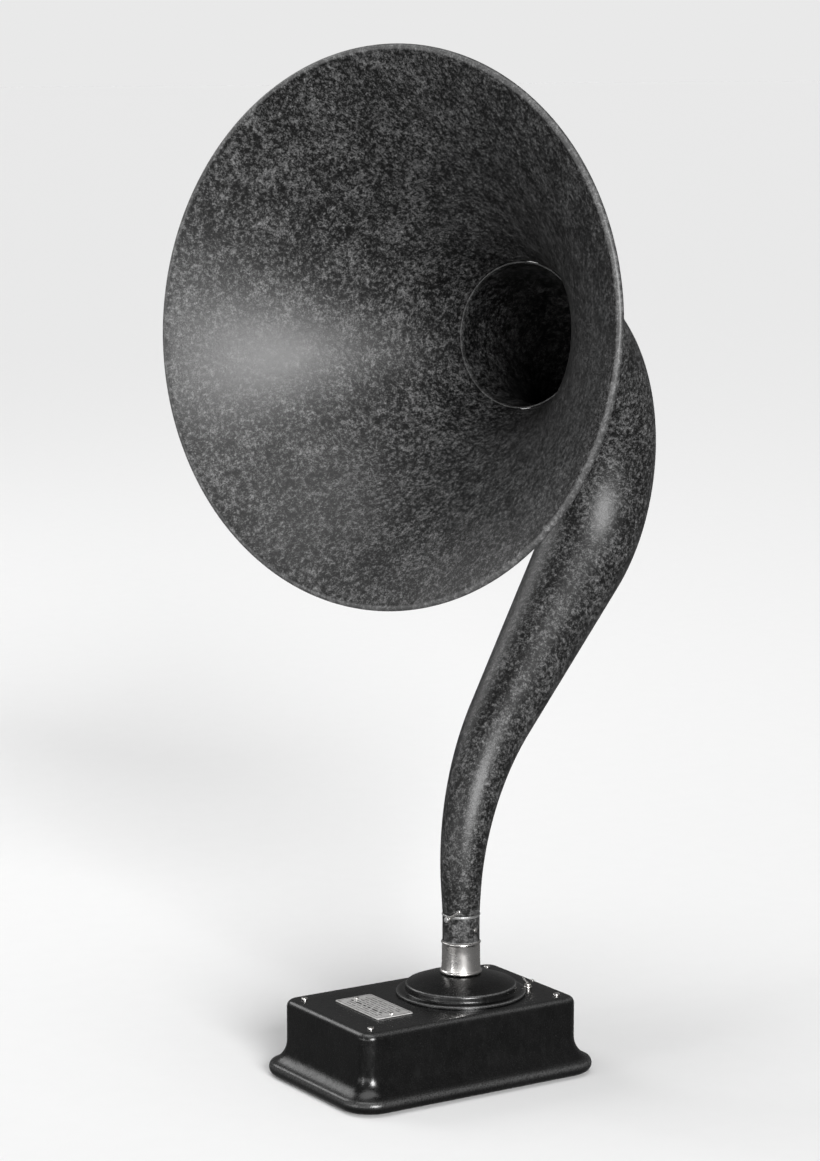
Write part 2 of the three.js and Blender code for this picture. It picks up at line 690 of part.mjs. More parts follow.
function buildBell() {
  const bell = new THREE.Group();
  bell.position.set(throat.x, 0, throat.y);
  bell.rotation.y = mouthTilt - Math.PI / 2;
  horn.add(bell);
  const rollR = mouthRadius - rimRadius;
  const slope = 125; // direction from the roll's middle to where the sheet runs into it
  const rollEnd = -150;
  const [lipR, lipZ] = arc(rollR, bellDepth, rimRadius, slope, slope, 1)[0];
  const throatR = neckEndRadius + gap;
  const steps = 7;
  const flare = (t) => Math.expm1(bellFlare * t) / Math.expm1(bellFlare);
  const inside = Array.from({ length: steps }, (_, i) => {
    const t = i / steps;
    return [THREE.MathUtils.lerp(throatR, lipR, flare(t)), lipZ * t];
  });
  const outside = inside.map(([radius, height], i) => {
    const t = i / steps;
    const rise = ((lipR - throatR) * bellFlare * Math.exp(bellFlare * t)) / Math.expm1(bellFlare) / lipZ;
    const norm = Math.hypot(1, rise);
    return [radius + bellSheet / norm, height - (bellSheet * rise) / norm];
  });
  outside[0] = [throatR + bellSheet, -1];
  const collarLength = 11;
  const section = [
    [throatR, -collarLength],
    ...inside,
    ...arc(rollR, bellDepth, rimRadius, slope, rollEnd, 6),
    ...arc(rollR, bellDepth, rimRadius - bellSheet, rollEnd, slope, 6),
    ...outside.reverse(),
    [throatR + bellSheet, -collarLength],
  ];
  piece(bell, 'bell', turned(section, bellSides), hornEnamel);
  piece(bell, 'rim_wire', turned(arc(rollR, bellDepth, 1.8, 0, 300, 5), bellSides), steel);
  const band = throatR + bellSheet + gap;
  piece(bell, 'throat_ring', tube(band, band + 2, -collarLength + 1, -2, bellSides), hornEnamel);
}

// Cloth-covered leads between the terminals, the switch, the field coil and the transformer.
function buildLeads() {
  const radius = 1.1;
  const section = new THREE.Shape();
  section.absarc(0, 0, radius, 0, Math.PI * 2, false);
  const postEnd = bodyEnd - 9 - 1.2;
  const [postY1, postY2, postY3, postY4] = terminalYs;
  const routes = {
    field_lead_1: [
      [postEnd, postY1, terminalHeight],
      [94, postY1 - 1, 42],
      [86, 14, 39],
      [72, 2.2, 40],
      [socketX + 30.5, 1.5, 40],
    ],
    field_lead_2: [
      [postEnd, postY2, terminalHeight],
      [95, 2, 43],
      [93, -8, 41],
      [91.5, -15, 42],
      [switchX + 2, switchY + 1, 44.6],
    ],
    field_lead_3: [
      [switchX - 4, switchY + 2, 44.6],
      [80, -14, 41],
      [76, -8, 39.5],
      [71, -2.8, 40],
      [socketX + 30.5, -1.8, 40],
    ],
    input_lead_1: [
      [postEnd, postY3, terminalHeight],
      [97, -13, 30],
      [84, -34, 12],
      [40, -50, 9],
      [-16, -44, 10],
      [-40, -34, 18],
      [transformerX + 8, -22.6, 27],
    ],
    input_lead_2: [
      [postEnd, postY4, terminalHeight],
      [95, -34, 32],
      [76, -47, 14],
      [40, -56, 9],
      [-20, -54, 10],
      [-52, -42, 18],
      [transformerX - 8, -22.6, 27],
    ],
  };
  for (const [name, points] of Object.entries(routes)) {
    const path = new THREE.CatmullRomCurve3(points.map((point) => new THREE.Vector3(...point)));
    const settings = { extrudePath: path, steps: 14, curveSegments: 3, bevelEnabled: false };
    piece(object, name, toSolid(new THREE.ExtrudeGeometry(section, settings)), clothWire);
  }
}

buildCasing();
buildBottom();
buildCasingScrews();
buildNameplate();
buildFlange();
buildDiaphragmStack();
buildMagnet();
buildVoiceCoil();
buildDriverBolts();
buildTransformer();
buildTerminals();
buildSwitch();
buildSocket();
buildLever();
buildNeck();
buildBell();
buildLeads();

export default object;
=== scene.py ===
import json
import math
import random

import bmesh
import bpy
from mathutils import Matrix, Vector


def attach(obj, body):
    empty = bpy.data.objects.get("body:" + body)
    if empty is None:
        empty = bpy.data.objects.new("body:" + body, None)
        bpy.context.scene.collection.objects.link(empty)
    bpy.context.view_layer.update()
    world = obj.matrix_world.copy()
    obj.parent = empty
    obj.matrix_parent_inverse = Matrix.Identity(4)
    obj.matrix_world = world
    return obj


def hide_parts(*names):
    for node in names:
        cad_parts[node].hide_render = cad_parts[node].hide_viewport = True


# A table horn loudspeaker: the looks of every piece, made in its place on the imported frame.
# Sizes in the dictionaries are millimetres; settle() brings each finished mesh to metres.

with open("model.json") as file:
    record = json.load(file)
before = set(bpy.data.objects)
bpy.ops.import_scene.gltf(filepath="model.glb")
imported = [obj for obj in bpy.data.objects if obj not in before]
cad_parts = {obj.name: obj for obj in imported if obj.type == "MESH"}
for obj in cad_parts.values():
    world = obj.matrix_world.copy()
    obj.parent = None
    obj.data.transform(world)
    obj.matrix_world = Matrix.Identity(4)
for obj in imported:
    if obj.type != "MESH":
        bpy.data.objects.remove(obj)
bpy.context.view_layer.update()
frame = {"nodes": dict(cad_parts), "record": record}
tau = 2 * math.pi
print("frame loaded,", len(frame["nodes"]), "nodes")


def lerp(low, high, share):
    return low + (high - low) * share


class Bench:
    # adds nodes to one tree and wires them

    def __init__(self, tree):
        self.tree = tree

    def add(self, kind, feeds=None, **settings):
        node = self.tree.nodes.new(kind)
        for key, value in settings.items():
            setattr(node, key, value)
        for key, value in (feeds or {}).items():
            if isinstance(value, bpy.types.NodeSocket):
                self.tree.links.new(value, node.inputs[key])
            else:
                node.inputs[key].default_value = value
        return node

    def math(self, operation, first, second=0.0, third=0.0):
        feeds = {0: first, 1: second}
        if operation == "MULTIPLY_ADD":
            feeds[2] = third
        return self.add("ShaderNodeMath", feeds, operation=operation).outputs[0]

    def total(self, *parts):
        result = parts[0]
        for part in parts[1:]:
            result = self.math("ADD", result, part)
        return result

    def times(self, first, second):
        return self.math("MULTIPLY", first, second)

    def remap(self, value, lowIn, highIn, lowOut=0.0, highOut=1.0):
        feeds = {0: value, 1: lowIn, 2: highIn, 3: lowOut, 4: highOut}
        return self.add("ShaderNodeMapRange", feeds, clamp=True).outputs[0]

    def blend(self, share, first, second):
        node = self.add("ShaderNodeMix", {0: share, 6: first, 7: second}, data_type="RGBA")
        return node.outputs[2]

    def noise(self, place, scale, detail=3.0, roughness=0.6, stretch=None):
        if stretch:
            place = self.add("ShaderNodeMapping", {"Vector": place, "Scale": stretch}).outputs[0]
        feeds = {"Vector": place, "Scale": scale, "Detail": detail, "Roughness": roughness}
        return self.add("ShaderNodeTexNoise", feeds).outputs[0]

    def cells(self, place, scale, feature="F1"):
        feeds = {"Vector": place, "Scale": scale}
        return self.add("ShaderNodeTexVoronoi", feeds, feature=feature).outputs["Distance"]

    def relief(self, height, depth, strength=1.0, under=None):
        feeds = {"Height": height, "Distance": depth, "Strength": strength}
        if under:
            feeds["Normal"] = under
        return self.add("ShaderNodeBump", feeds).outputs[0]

    def vector(self, x=0.0, y=0.0, z=0.0):
        return self.add("ShaderNodeCombineXYZ", {0: x, 1: y, 2: z}).outputs[0]

    def place(self):
        # the three coordinates of each point
        position = self.add("GeometryNodeInputPosition").outputs[0]
        return self.add("ShaderNodeSeparateXYZ", {0: position}).outputs

    def moved(self, geometry, x, y, z):
        feeds = {"Geometry": geometry, "Position": self.vector(x, y, z)}
        return self.add("GeometryNodeSetPosition", feeds).outputs[0]

    def unrolled(self, sides, rows):
        # a grid to be turned into a round skin, with each point's angle and row
        columns = self.math("ADD", sides, 1.0)
        lines = self.math("ADD", rows, 1.0)
        sizes = {"Size X": 1.0, "Size Y": 1.0, "Vertices X": columns, "Vertices Y": lines}
        grid = self.add("GeometryNodeMeshGrid", sizes).outputs[0]
        x, y, z = self.place()
        angle = self.times(self.math("ADD", x, 0.5), tau)
        return grid, angle, self.times(self.math("ADD", y, 0.5), rows)

    def turned(self, geometry, radius, angle, height):
        x = self.times(radius, self.math("COSINE", angle))
        y = self.times(radius, self.math("SINE", angle))
        return self.moved(geometry, x, y, height)

    def wornAndHighlight(self, geometry, value):
        feeds = {"Geometry": geometry, "Name": "wearAndHighlight", "Value": value}
        return self.add("GeometryNodeStoreNamedAttribute", feeds).outputs[0]


def grey(level, warmth=0.0):
    return (level * (1 + warmth), level, level * (1 - warmth), 1.0)


class Finish:
    # one material: its shader, a bench for its nodes, and the place on the piece

    def __init__(self, name):
        self.material = bpy.data.materials.new(name)
        self.material.use_nodes = True
        tree = self.material.node_tree
        self.shader = tree.nodes["Principled BSDF"]
        self.bench = Bench(tree)
        self.place = self.bench.add("ShaderNodeTexCoord").outputs["Object"]
        # the wear-and-highlight attribute marks real wear, and on some edges painted highlight lines
        self.wearAndHighlight = self.bench.add("ShaderNodeAttribute", attribute_name="wearAndHighlight").outputs["Fac"]

    def set(self, **sockets):
        for key, value in sockets.items():
            socket = self.shader.inputs[socketNames[key]]
            if isinstance(value, bpy.types.NodeSocket):
                self.bench.tree.links.new(value, socket)
            else:
                socket.default_value = value
        return self.material


socketNames = {
    "color": "Base Color",
    "metal": "Metallic",
    "rough": "Roughness",
    "normal": "Normal",
    "specular": "Specular IOR Level",
    "sheen": "Sheen Weight",
    "sheenRough": "Sheen Roughness",
}

# Finishes.

hornLook = {
    "dark": 0.002,
    "light": 0.17,
    "clouds": 45.0,  # per metre, broad clouding of the baked enamel
    "grain": 240.0,  # per metre, the wrinkled grain
    "flecks": 700.0,
    "reliefDepth": 0.0004,
    "bare": 0.6,  # the metal where the enamel has gone, also the painted highlight on the sleeve's lip
}


def makeHornEnamel():
    look = hornLook
    finish = Finish("hornEnamel")
    bench = finish.bench
    clouds = bench.noise(finish.place, look["clouds"], 4.0, 0.6)
    grain = bench.noise(finish.place, look["grain"], 6.0, 0.78)
    flecks = bench.noise(finish.place, look["flecks"], 4.0, 0.7)
    mixed = bench.total(
        bench.times(clouds, 0.2),
        bench.times(grain, 0.8),
        bench.times(flecks, 0.5),
    )
    mottle = bench.remap(mixed, 0.7, 0.95)
    shade = bench.math("POWER", mottle, 1.4)
    enamel = bench.blend(shade, grey(look["dark"]), grey(look["light"]))
    height = bench.total(bench.times(grain, 0.7), bench.times(flecks, 0.4))
    # where the attribute is set, the enamel gives way to grey bare metal: worn spots, and a painted
    # highlight line on the sleeve's lip
    return finish.set(
        color=bench.blend(finish.wearAndHighlight, enamel, grey(look["bare"])),
        metal=bench.remap(finish.wearAndHighlight, 0.4, 0.9),
        rough=bench.remap(shade, 0.0, 1.0, 0.4, 0.6),
        normal=bench.relief(height, look["reliefDepth"], 0.8),
    )


lacquerLook = {
    "dark": 0.0012,
    "light": 0.0035,
    "rough": (0.18, 0.34),
    # the light grey of rubbed edges, which also serves as a painted highlight
    "wornAndHighlight": 0.16,
    "dust": 0.035,
}


def makeLacquer():
    look = lacquerLook
    finish = Finish("blackLacquer")
    bench = finish.bench
    clouds = bench.noise(finish.place, 30.0, 5.0, 0.65)
    brushing = bench.noise(finish.place, 1.0, 5.0, 0.7, (210.0, 210.0, 85.0))
    dust = bench.noise(finish.place, 1300.0, 3.0, 0.6)
    low, high = look["rough"]
    # rubbed edges turn light grey: wear, and painted highlight lines along the nose, top edge and dome
    # rims
    rubbedAndHighlight = bench.times(finish.wearAndHighlight, bench.remap(dust, 0.4, 0.56, 0.2, 1.0))
    black = bench.blend(bench.remap(clouds, 0.35, 0.65), grey(look["dark"]), grey(look["light"]))
    dusty = bench.blend(bench.remap(dust, 0.66, 0.76), black, grey(look["dust"]))
    waves = bench.relief(clouds, 0.0008, 0.35)
    lines = bench.relief(brushing, 0.00018, 0.5, waves)
    return finish.set(
        color=bench.blend(rubbedAndHighlight, dusty, grey(look["wornAndHighlight"])),
        rough=bench.remap(bench.total(brushing, bench.times(dust, 0.5)), 0.55, 0.95, low, high),
        normal=bench.relief(dust, 0.00004, 0.5, lines),
    )


nickelLook = {
    "bright": 0.86,
    "dull": 0.66,
    "rough": (0.2, 0.36),
}


def makeNickel():
    look = nickelLook
    finish = Finish("nickelPlate")
    bench = finish.bench
    tarnish = bench.noise(finish.place, 90.0, 5.0, 0.65)
    turning = bench.noise(finish.place, 1.0, 3.0, 0.6, (60.0, 60.0, 2600.0))
    low, high = look["rough"]
    patchy = bench.remap(tarnish, 0.35, 0.7)
    return finish.set(
        color=bench.blend(patchy, grey(look["bright"], 0.02), grey(look["dull"], 0.03)),
        metal=1.0,
        rough=bench.remap(bench.total(patchy, bench.times(turning, 0.5)), 0.1, 1.3, low, high),
        normal=bench.relief(turning, 0.00002, 0.5),
    )


def makeEtchedSilver():
    finish = Finish("etchedSilver")
    bench = finish.bench
    grain = bench.noise(finish.place, 1.0, 3.0, 0.6, (2600.0, 60.0, 60.0))
    tarnish = bench.noise(finish.place, 160.0, 4.0, 0.6)
    color = bench.blend(bench.remap(tarnish, 0.35, 0.7), grey(0.78, 0.01), grey(0.52, 0.02))
    return finish.set(
        color=color,
        metal=0.6,
        rough=bench.remap(grain, 0.3, 0.7, 0.4, 0.6),
        normal=bench.relief(grain, 0.00003, 0.6),
    )


def makeMetal(name, bright, dull, warmth, rough, grainScale=500.0, pits=0.0):
    finish = Finish(name)
    bench = finish.bench
    patches = bench.noise(finish.place, grainScale * 0.2, 5.0, 0.65)
    grain = bench.noise(finish.place, grainScale, 4.0, 0.6)
    share = bench.remap(bench.total(patches, bench.times(grain, 0.4)), 0.5, 0.95)
    return finish.set(
        color=bench.blend(share, grey(bright, warmth), grey(dull, warmth)),
        metal=0.9,
        rough=bench.remap(grain, 0.3, 0.7, rough - 0.08, rough + 0.1),
        normal=bench.relief(grain, 0.00003 + pits, 0.5),
    )


def makeBrass():
    finish = Finish("turnedBrass")
    bench = finish.bench
    patches = bench.noise(finish.place, 140.0, 5.0, 0.65)
    share = bench.remap(patches, 0.35, 0.7)
    return finish.set(
        color=bench.blend(share, (0.66, 0.47, 0.19, 1.0), (0.34, 0.2, 0.07, 1.0)),
        metal=1.0,
        rough=bench.remap(patches, 0.3, 0.7, 0.22, 0.42),
        normal=bench.relief(bench.noise(finish.place, 1800.0), 0.00002, 0.4),
    )


def makeCopperWire():
    finish = Finish("enamelledWire")
    bench = finish.bench
    turns = bench.noise(finish.place, 1.0, 1.0, 0.4, (20.0, 20.0, 2400.0))
    color = bench.blend(bench.remap(turns, 0.35, 0.65), (0.2, 0.045, 0.015, 1.0), (0.5, 0.17, 0.06, 1.0))
    return finish.set(
        color=color,
        metal=0.6,
        rough=0.34,
        normal=bench.relief(turns, 0.0002, 0.7),
    )


def makeFibre():
    finish = Finish("vulcanisedFibre")
    bench = finish.bench
    flecks = bench.noise(finish.place, 700.0, 5.0, 0.7)
    color = bench.blend(bench.remap(flecks, 0.35, 0.65), (0.1, 0.045, 0.025, 1.0), (0.24, 0.12, 0.07, 1.0))
    return finish.set(
        color=color,
        rough=bench.remap(flecks, 0.3, 0.7, 0.6, 0.85),
        normal=bench.relief(flecks, 0.00008, 0.6),
    )


def makeHardRubber():
    finish = Finish("hardRubber")
    bench = finish.bench
    clouds = bench.noise(finish.place, 120.0, 4.0, 0.6)
    grain = bench.noise(finish.place, 1600.0, 2.0, 0.5)
    black = (0.010, 0.009, 0.008, 1.0)
    brown = (0.03, 0.024, 0.018, 1.0)
    color = bench.blend(bench.remap(clouds, 0.35, 0.7), black, brown)
    return finish.set(
        color=color,
        rough=bench.remap(clouds, 0.3, 0.7, 0.26, 0.42),
        normal=bench.relief(grain, 0.00003, 0.4),
    )


def makeFelt():
    finish = Finish("greenFelt")
    bench = finish.bench
    fibres = bench.noise(finish.place, 1400.0, 5.0, 0.75)
    clumps = bench.noise(finish.place, 180.0, 3.0, 0.6)
    share = bench.remap(bench.total(fibres, bench.times(clumps, 0.6)), 0.55, 1.05)
    return finish.set(
        color=bench.blend(share, (0.02, 0.04, 0.022, 1.0), (0.075, 0.12, 0.07, 1.0)),
        rough=0.95,
        sheen=0.5,
        sheenRough=0.6,
        normal=bench.relief(fibres, 0.0004, 0.8),
    )


def makeClothWire():
    finish = Finish("braidedCotton")
    bench = finish.bench
    strands = bench.cells(finish.place, 1100.0)
    color = bench.blend(bench.remap(strands, 0.1, 0.6), (0.3, 0.24, 0.11, 1.0), (0.1, 0.075, 0.035, 1.0))
    return finish.set(
        color=color,
        rough=0.85,
        sheen=0.2,
        normal=bench.relief(strands, 0.0003, 0.8),
    )


hornEnamel = makeHornEnamel()
lacquer = makeLacquer()
nickel = makeNickel()
etchedSilver = makeEtchedSilver()
castIron = makeMetal("castIron", 0.16, 0.07, 0.01, 0.55, 420.0, 0.0002)
plainSteel = makeMetal("plainSteel", 0.46, 0.26, 0.01, 0.36)
duralumin = makeMetal("pressedDuralumin", 0.72, 0.55, 0.0, 0.34, 900.0)
brass = makeBrass()
copperWire = makeCopperWire()
fibre = makeFibre()
hardRubber = makeHardRubber()
felt = makeFelt()
clothWire = makeClothWire()
finishes = {
    "base_lacquer": lacquer,
    "horn_enamel": hornEnamel,
    "nickel": nickel,
    "etched_silver": etchedSilver,
    "cast_iron": castIron,
    "plain_steel": plainSteel,
    "brass": brass,
    "duralumin": duralumin,
    "copper_wire": copperWire,
    "fibre": fibre,
    "hard_rubber": hardRubber,
    "green_felt": felt,
    "cloth_wire": clothWire,
}
print("finishes made")

# Shapes.


def arc(centreR, centreZ, radius, start, end, steps):
    angles = [math.radians(lerp(start, end, i / steps)) for i in range(steps + 1)]
    return [(centreR + radius * math.cos(a), centreZ + radius * math.sin(a)) for a in angles]


def softened(points, radius, steps=3, closed=True):
    # rounds the corners of an outline
    result = []
    for i, point in enumerate(points):
        here = Vector(point[:2])
        if not closed and i in (0, len(points) - 1):
            result.append(tuple(here))
            continue
        back = Vector(points[i - 1][:2]) - here
        ahead = Vector(points[(i + 1) % len(points)][:2]) - here
        straight = back.normalized().dot(ahead.normalized()) < -0.97
        cut = min(radius, back.length * 0.45, ahead.length * 0.45)
        if straight or cut < 1e-4:
            result.append(tuple(here))
            continue
        start = here + back.normalized() * cut
        end = here + ahead.normalized() * cut
        for k in range(steps + 1):
            t = k / steps
            result.append(tuple(start * (1 - t) ** 2 + here * 2 * t * (1 - t) + end * t * t))
    return result


def faceUp(form, rings, closed):
    # joins a run of rings, each one vertex or a loop, into a skin
    runs = list(zip(rings, rings[1:]))
    if closed:
        runs.append((rings[-1], rings[0]))
    for low, high in runs:
        sides = max(len(low), len(high))
        for k in range(sides):
            j = (k + 1) % sides
            corners = [low[k % len(low)], low[j % len(low)], high[j % len(high)], high[k % len(high)]]
            unique = list(dict.fromkeys(corners))
            if len(unique) > 2:
                form.faces.new(unique)


def turnedForm(points, sides=96, wearAndHighlight=None):
    # a ring's section, or a solid whose outline starts and ends on the axis
    form = bmesh.new()
    layer = form.verts.layers.float.new("wearAndHighlight")
    rings = []
    for radius, height in points:
        count = 1 if radius < 1e-6 else sides
        ring = []
        for k in range(count):
            angle = tau * k / sides
            ring.append(form.verts.new((radius * math.cos(angle), radius * math.sin(angle), height)))
            if wearAndHighlight:
                ring[-1][layer] = wearAndHighlight(radius, height)
        rings.append(ring)
    faceUp(form, rings, points[0][0] > 1e-6)
    bmesh.ops.recalc_face_normals(form, faces=form.faces)
    return form


def meshOf(form, name):
    mesh = bpy.data.meshes.new(name)
    form.to_mesh(mesh)
    form.free()
    return mesh


def frozen(holder):
    # the evaluated object as a plain mesh; the holder is used up
    bpy.context.view_layer.update()
    graph = bpy.context.evaluated_depsgraph_get()
    mesh = bpy.data.meshes.new_from_object(holder.evaluated_get(graph), depsgraph=graph)
    bpy.data.objects.remove(holder)
    return mesh


def hold(data, name="holder"):
    holder = bpy.data.objects.new(name, data)
    bpy.context.scene.collection.objects.link(holder)
    return holder


def cleaned(mesh, merge=0.0005, outward=True):
    form = bmesh.new()
    form.from_mesh(mesh)
    bmesh.ops.remove_doubles(form, verts=form.verts, dist=merge)
    bmesh.ops.dissolve_degenerate(form, edges=form.edges, dist=1e-5)
    if outward:
        bmesh.ops.recalc_face_normals(form, faces=form.faces)
    form.to_mesh(mesh)
    form.free()
    return mesh


def joined(meshes):
    form = bmesh.new()
    for mesh in meshes:
        form.from_mesh(mesh)
    mesh = bpy.data.meshes.new("joined")
    form.to_mesh(mesh)
    form.free()
    return mesh


def placed(mesh, *steps):
    for step in steps:
        mesh.transform(step)
    return mesh


def bevelled(mesh, width, segments=3, angle=40):
    holder = hold(mesh)
    modifier = holder.modifiers.new("edges", "BEVEL")
    modifier.width = width
    modifier.segments = segments
    modifier.limit_method = "ANGLE"
    modifier.angle_limit = math.radians(angle)
    return frozen(holder)


def settle(name, mesh, body, slot, *nodes, place=Matrix(), smooth=32):
    # the finished piece, in metres, on its body
    mesh.name = name
    mesh.transform(Matrix.Scale(0.001, 4) @ place)
    mesh.materials.clear()
    mesh.materials.append(finishes[slot])
    mesh.shade_smooth()
    mesh.set_sharp_from_angle(angle=math.radians(smooth))
    piece = hold(mesh, name)
    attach(piece, body)
    if nodes:
        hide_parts(*nodes)
    return piece


def spun(axis, degrees):
    return Matrix.Rotation(math.radians(degrees), 4, axis)


def shifted(x=0.0, y=0.0, z=0.0):
    return Matrix.Translation((x, y, z))


def newTree(name, sizes):
    # an empty geometry tree with a named input for each size
    tree = bpy.data.node_groups.new(name, "GeometryNodeTree")
    tree.interface.new_socket("Geometry", in_out="INPUT", socket_type="NodeSocketGeometry")
    for label, value in sizes.items():
        kind = "NodeSocketInt" if isinstance(value, int) else "NodeSocketFloat"
        socket = tree.interface.new_socket(label, in_out="INPUT", socket_type=kind)
        socket.default_value = value
    tree.interface.new_socket("Finish", in_out="INPUT", socket_type="NodeSocketMaterial")
    tree.interface.new_socket("Geometry", in_out="OUTPUT", socket_type="NodeSocketGeometry")
    bench = Bench(tree)
    return tree, bench, bench.add("NodeGroupInput").outputs


def endTree(bench, geometry, finish):
    real = bench.add("GeometryNodeRealizeInstances", {0: geometry})
    dressed = bench.add("GeometryNodeSetMaterial", {0: real.outputs[0], "Material": finish})
    bench.add("NodeGroupOutput", {0: dressed.outputs[0]})


def grown(tree, data, sizes, material):
    # runs a tree on a mesh or curve and gives the mesh it makes
    holder = hold(data)
    modifier = holder.modifiers.new(tree.name, "NODES")
    modifier.node_group = tree
    for item in tree.interface.items_tree:
        if item.in_out == "INPUT" and item.name in sizes:
            modifier[item.identifier] = sizes[item.name]
        if item.in_out == "INPUT" and item.name == "Finish":
            modifier[item.identifier] = material
    return frozen(holder)


# The base: one drawn casing with a round nose, a hollow moulding and upright walls.

base = {
    "length": 248,
    "width": 167,
    "flare": 15.5,  # how far the plinth stands out from the wall
    "corner": 13,
    "height": 67,
    "wall": 2.8,
    "foot": 1.7,
    "nose": 6.5,
    "noseLip": 2.5,  # how far the nose turns in underneath
    "coveTop": 32,
    "bandTop": 44,
    "topEdge": 6,
    "cornerSteps": 14,
    "sideSteps": 12,
    "holeX": 31,
    "holeRadius": 41.5,
    "noseRubAndHighlight": (11, 2.2),  # height and spread of the rubbed lines, which are also painted highlight lines
    "edgeRubAndHighlight": (65.4, 1.2),
    "rubbedAndHighlight": 0.3,
}


def baseOutline(reach):
    # the outline's points at one distance outside the wall, corner by corner
    coreX = base["length"] / 2 - base["flare"] - base["corner"]
    coreY = base["width"] / 2 - base["flare"] - base["corner"]
    radius = base["corner"] + reach
    points = []
    for quarter, (signX, signY) in enumerate([(1, 1), (-1, 1), (-1, -1), (1, -1)]):
        for step in range(base["cornerSteps"] + 1):
            angle = (quarter + step / base["cornerSteps"]) * math.pi / 2
            points.append(Vector((
                coreX * signX + radius * math.cos(angle),
                coreY * signY + radius * math.sin(angle),
            )))
        nextX, nextY = [(-1, 1), (-1, -1), (1, -1), (1, 1)][quarter]
        angle = (quarter + 1) * math.pi / 2
        end = Vector((
            coreX * nextX + radius * math.cos(angle),
            coreY * nextY + radius * math.sin(angle),
        ))
        start = points[-1]
        points += [start.lerp(end, k / base["sideSteps"]) for k in range(1, base["sideSteps"])]
    return points


def casingSection(inset):
    noseX = base["flare"] - base["nose"]
    noseZ = base["foot"] + base["nose"]
    creaseX = noseX + base["nose"] * math.sqrt(0.5)
    creaseZ = noseZ + base["nose"] * math.sqrt(0.5)
    drop = base["coveTop"] - creaseZ
    coveRadius = (creaseX**2 + drop**2) / (2 * creaseX)
    coveStart = 180 + math.degrees(math.atan2(drop, coveRadius - creaseX))
    topEdge = base["topEdge"]
    return [
        (noseX - base["noseLip"], noseZ - base["nose"] + inset),
        *arc(noseX, noseZ, base["nose"] - inset, -90, 45, 12),
        *arc(coveRadius, base["coveTop"], coveRadius + inset, coveStart, 180, 14)[1:],
        (-inset, base["bandTop"]),
        *arc(-topEdge, base["height"] - topEdge, topEdge - inset, 0, 90, 10),
    ]


def makeCasing():
    form = bmesh.new()
    layer = form.verts.layers.float.new("wearAndHighlight")
    holeX = base["holeX"]
    rings = []

    def addRing(points, height, wearAndHighlight=0.0):
        ring = [form.verts.new((point.x, point.y, height)) for point in points]
        for vertex in ring:
            vertex[layer] = wearAndHighlight
        rings.append(ring)

    def addHoleRing(height):
        points = []
        for point in baseOutline(0):
            angle = math.atan2(point.y, point.x - holeX)
            reach = base["holeRadius"]
            points.append(Vector((holeX + reach * math.cos(angle), reach * math.sin(angle))))
        addRing(points, height)

    def addTopRing(height, share, edge):
        # a ring between the top's edge and the driver's hole
        points = []
        for point in baseOutline(edge):
            angle = math.atan2(point.y, point.x - holeX)
            reach = base["holeRadius"]
            inner = Vector((holeX + reach * math.cos(angle), reach * math.sin(angle)))
            points.append(point.lerp(inner, share))
        addRing(points, height)

    def rubbedAndLitAt(height, line):
        middle, spread = line
        return math.exp(-(((height - middle) / spread) ** 2))

    noseX = base["flare"] - base["nose"]
    for reach, height in casingSection(0):
        # lighter lines along the nose and the top edge: rubbed wear, and painted highlights
        onNose = rubbedAndLitAt(height, base["noseRubAndHighlight"]) if reach > noseX else 0.0
        onEdge = rubbedAndLitAt(height, base["edgeRubAndHighlight"])
        addRing(baseOutline(reach), height, base["rubbedAndHighlight"] * max(onNose, onEdge))
    edge = -base["topEdge"]
    for share in (0.25, 0.5, 0.75):
        addTopRing(base["height"], share, edge)
    addHoleRing(base["height"])
    ceiling = base["height"] - base["wall"]
    addHoleRing(ceiling)
    addTopRing(ceiling, 0.5, edge)
    for reach, height in reversed(casingSection(base["wall"])):
        addRing(baseOutline(reach), height)
    faceUp(form, rings, True)
    bmesh.ops.recalc_face_normals(form, faces=form.faces)
    settle("casing", meshOf(form, "casing"), "base", "base_lacquer", "base_casing")


makeCasing()

feltPad = {"inset": 1.8, "thickness": 1.5, "edge": 0.5}


def makeFeltPad():
    noseX = base["flare"] - base["nose"]
    reach = noseX - base["noseLip"] - feltPad["inset"]
    edge = feltPad["edge"]
    top = feltPad["thickness"]
    form = bmesh.new()
    rings = [[form.verts.new((0, 0, 0))]]
    for share in (0.35, 0.7):
        rings.append([form.verts.new((p.x * share, p.y * share, 0)) for p in baseOutline(reach - edge)])
    rows = [(reach - edge, 0), (reach - edge * 0.3, 0.15), (reach, 0.5), (reach, top - 0.5)]
    rows += [(reach - edge * 0.3, top - 0.15), (reach - edge, top)]
    for out, height in rows:
        rings.append([form.verts.new((p.x, p.y, height)) for p in baseOutline(out)])
    for share in (0.7, 0.35):
        rings.append([form.verts.new((p.x * share, p.y * share, top)) for p in baseOutline(reach - edge)])
    rings.append([form.verts.new((0, 0, top))])
    faceUp(form, rings, False)
    bmesh.ops.recalc_face_normals(form, faces=form.faces)
    settle("felt", meshOf(form, "felt"), "base", "green_felt", "felt_pad")


makeFeltPad()
print("base made")

# The domed flange over the driver, with its stepped rim.

socketX = 31.0
overSocket = shifted(socketX)

dome = {
    "radius": 56,
    "shoulder": 48,
    "top": 85,
    "bore": 9,
    "seat": 13,  # radius of the recess for the socket's spigot
    "low": 67.3,
    "ringInner": 32.5,
    "ringOuter": 40.5,
    "ringLow": 61,
    "crown": [(18.5, 84.5), (24, 83.4), (30, 82), (36, 80.2), (41, 78.2)],
    "edge": 2.5,
    "edgeZ": 74,
    "rim": 1,
    "rimZ": 68.5,
    "rubbedAndHighlight": 0.7,
    "rubAndHighlightSpread": 0.7,
}


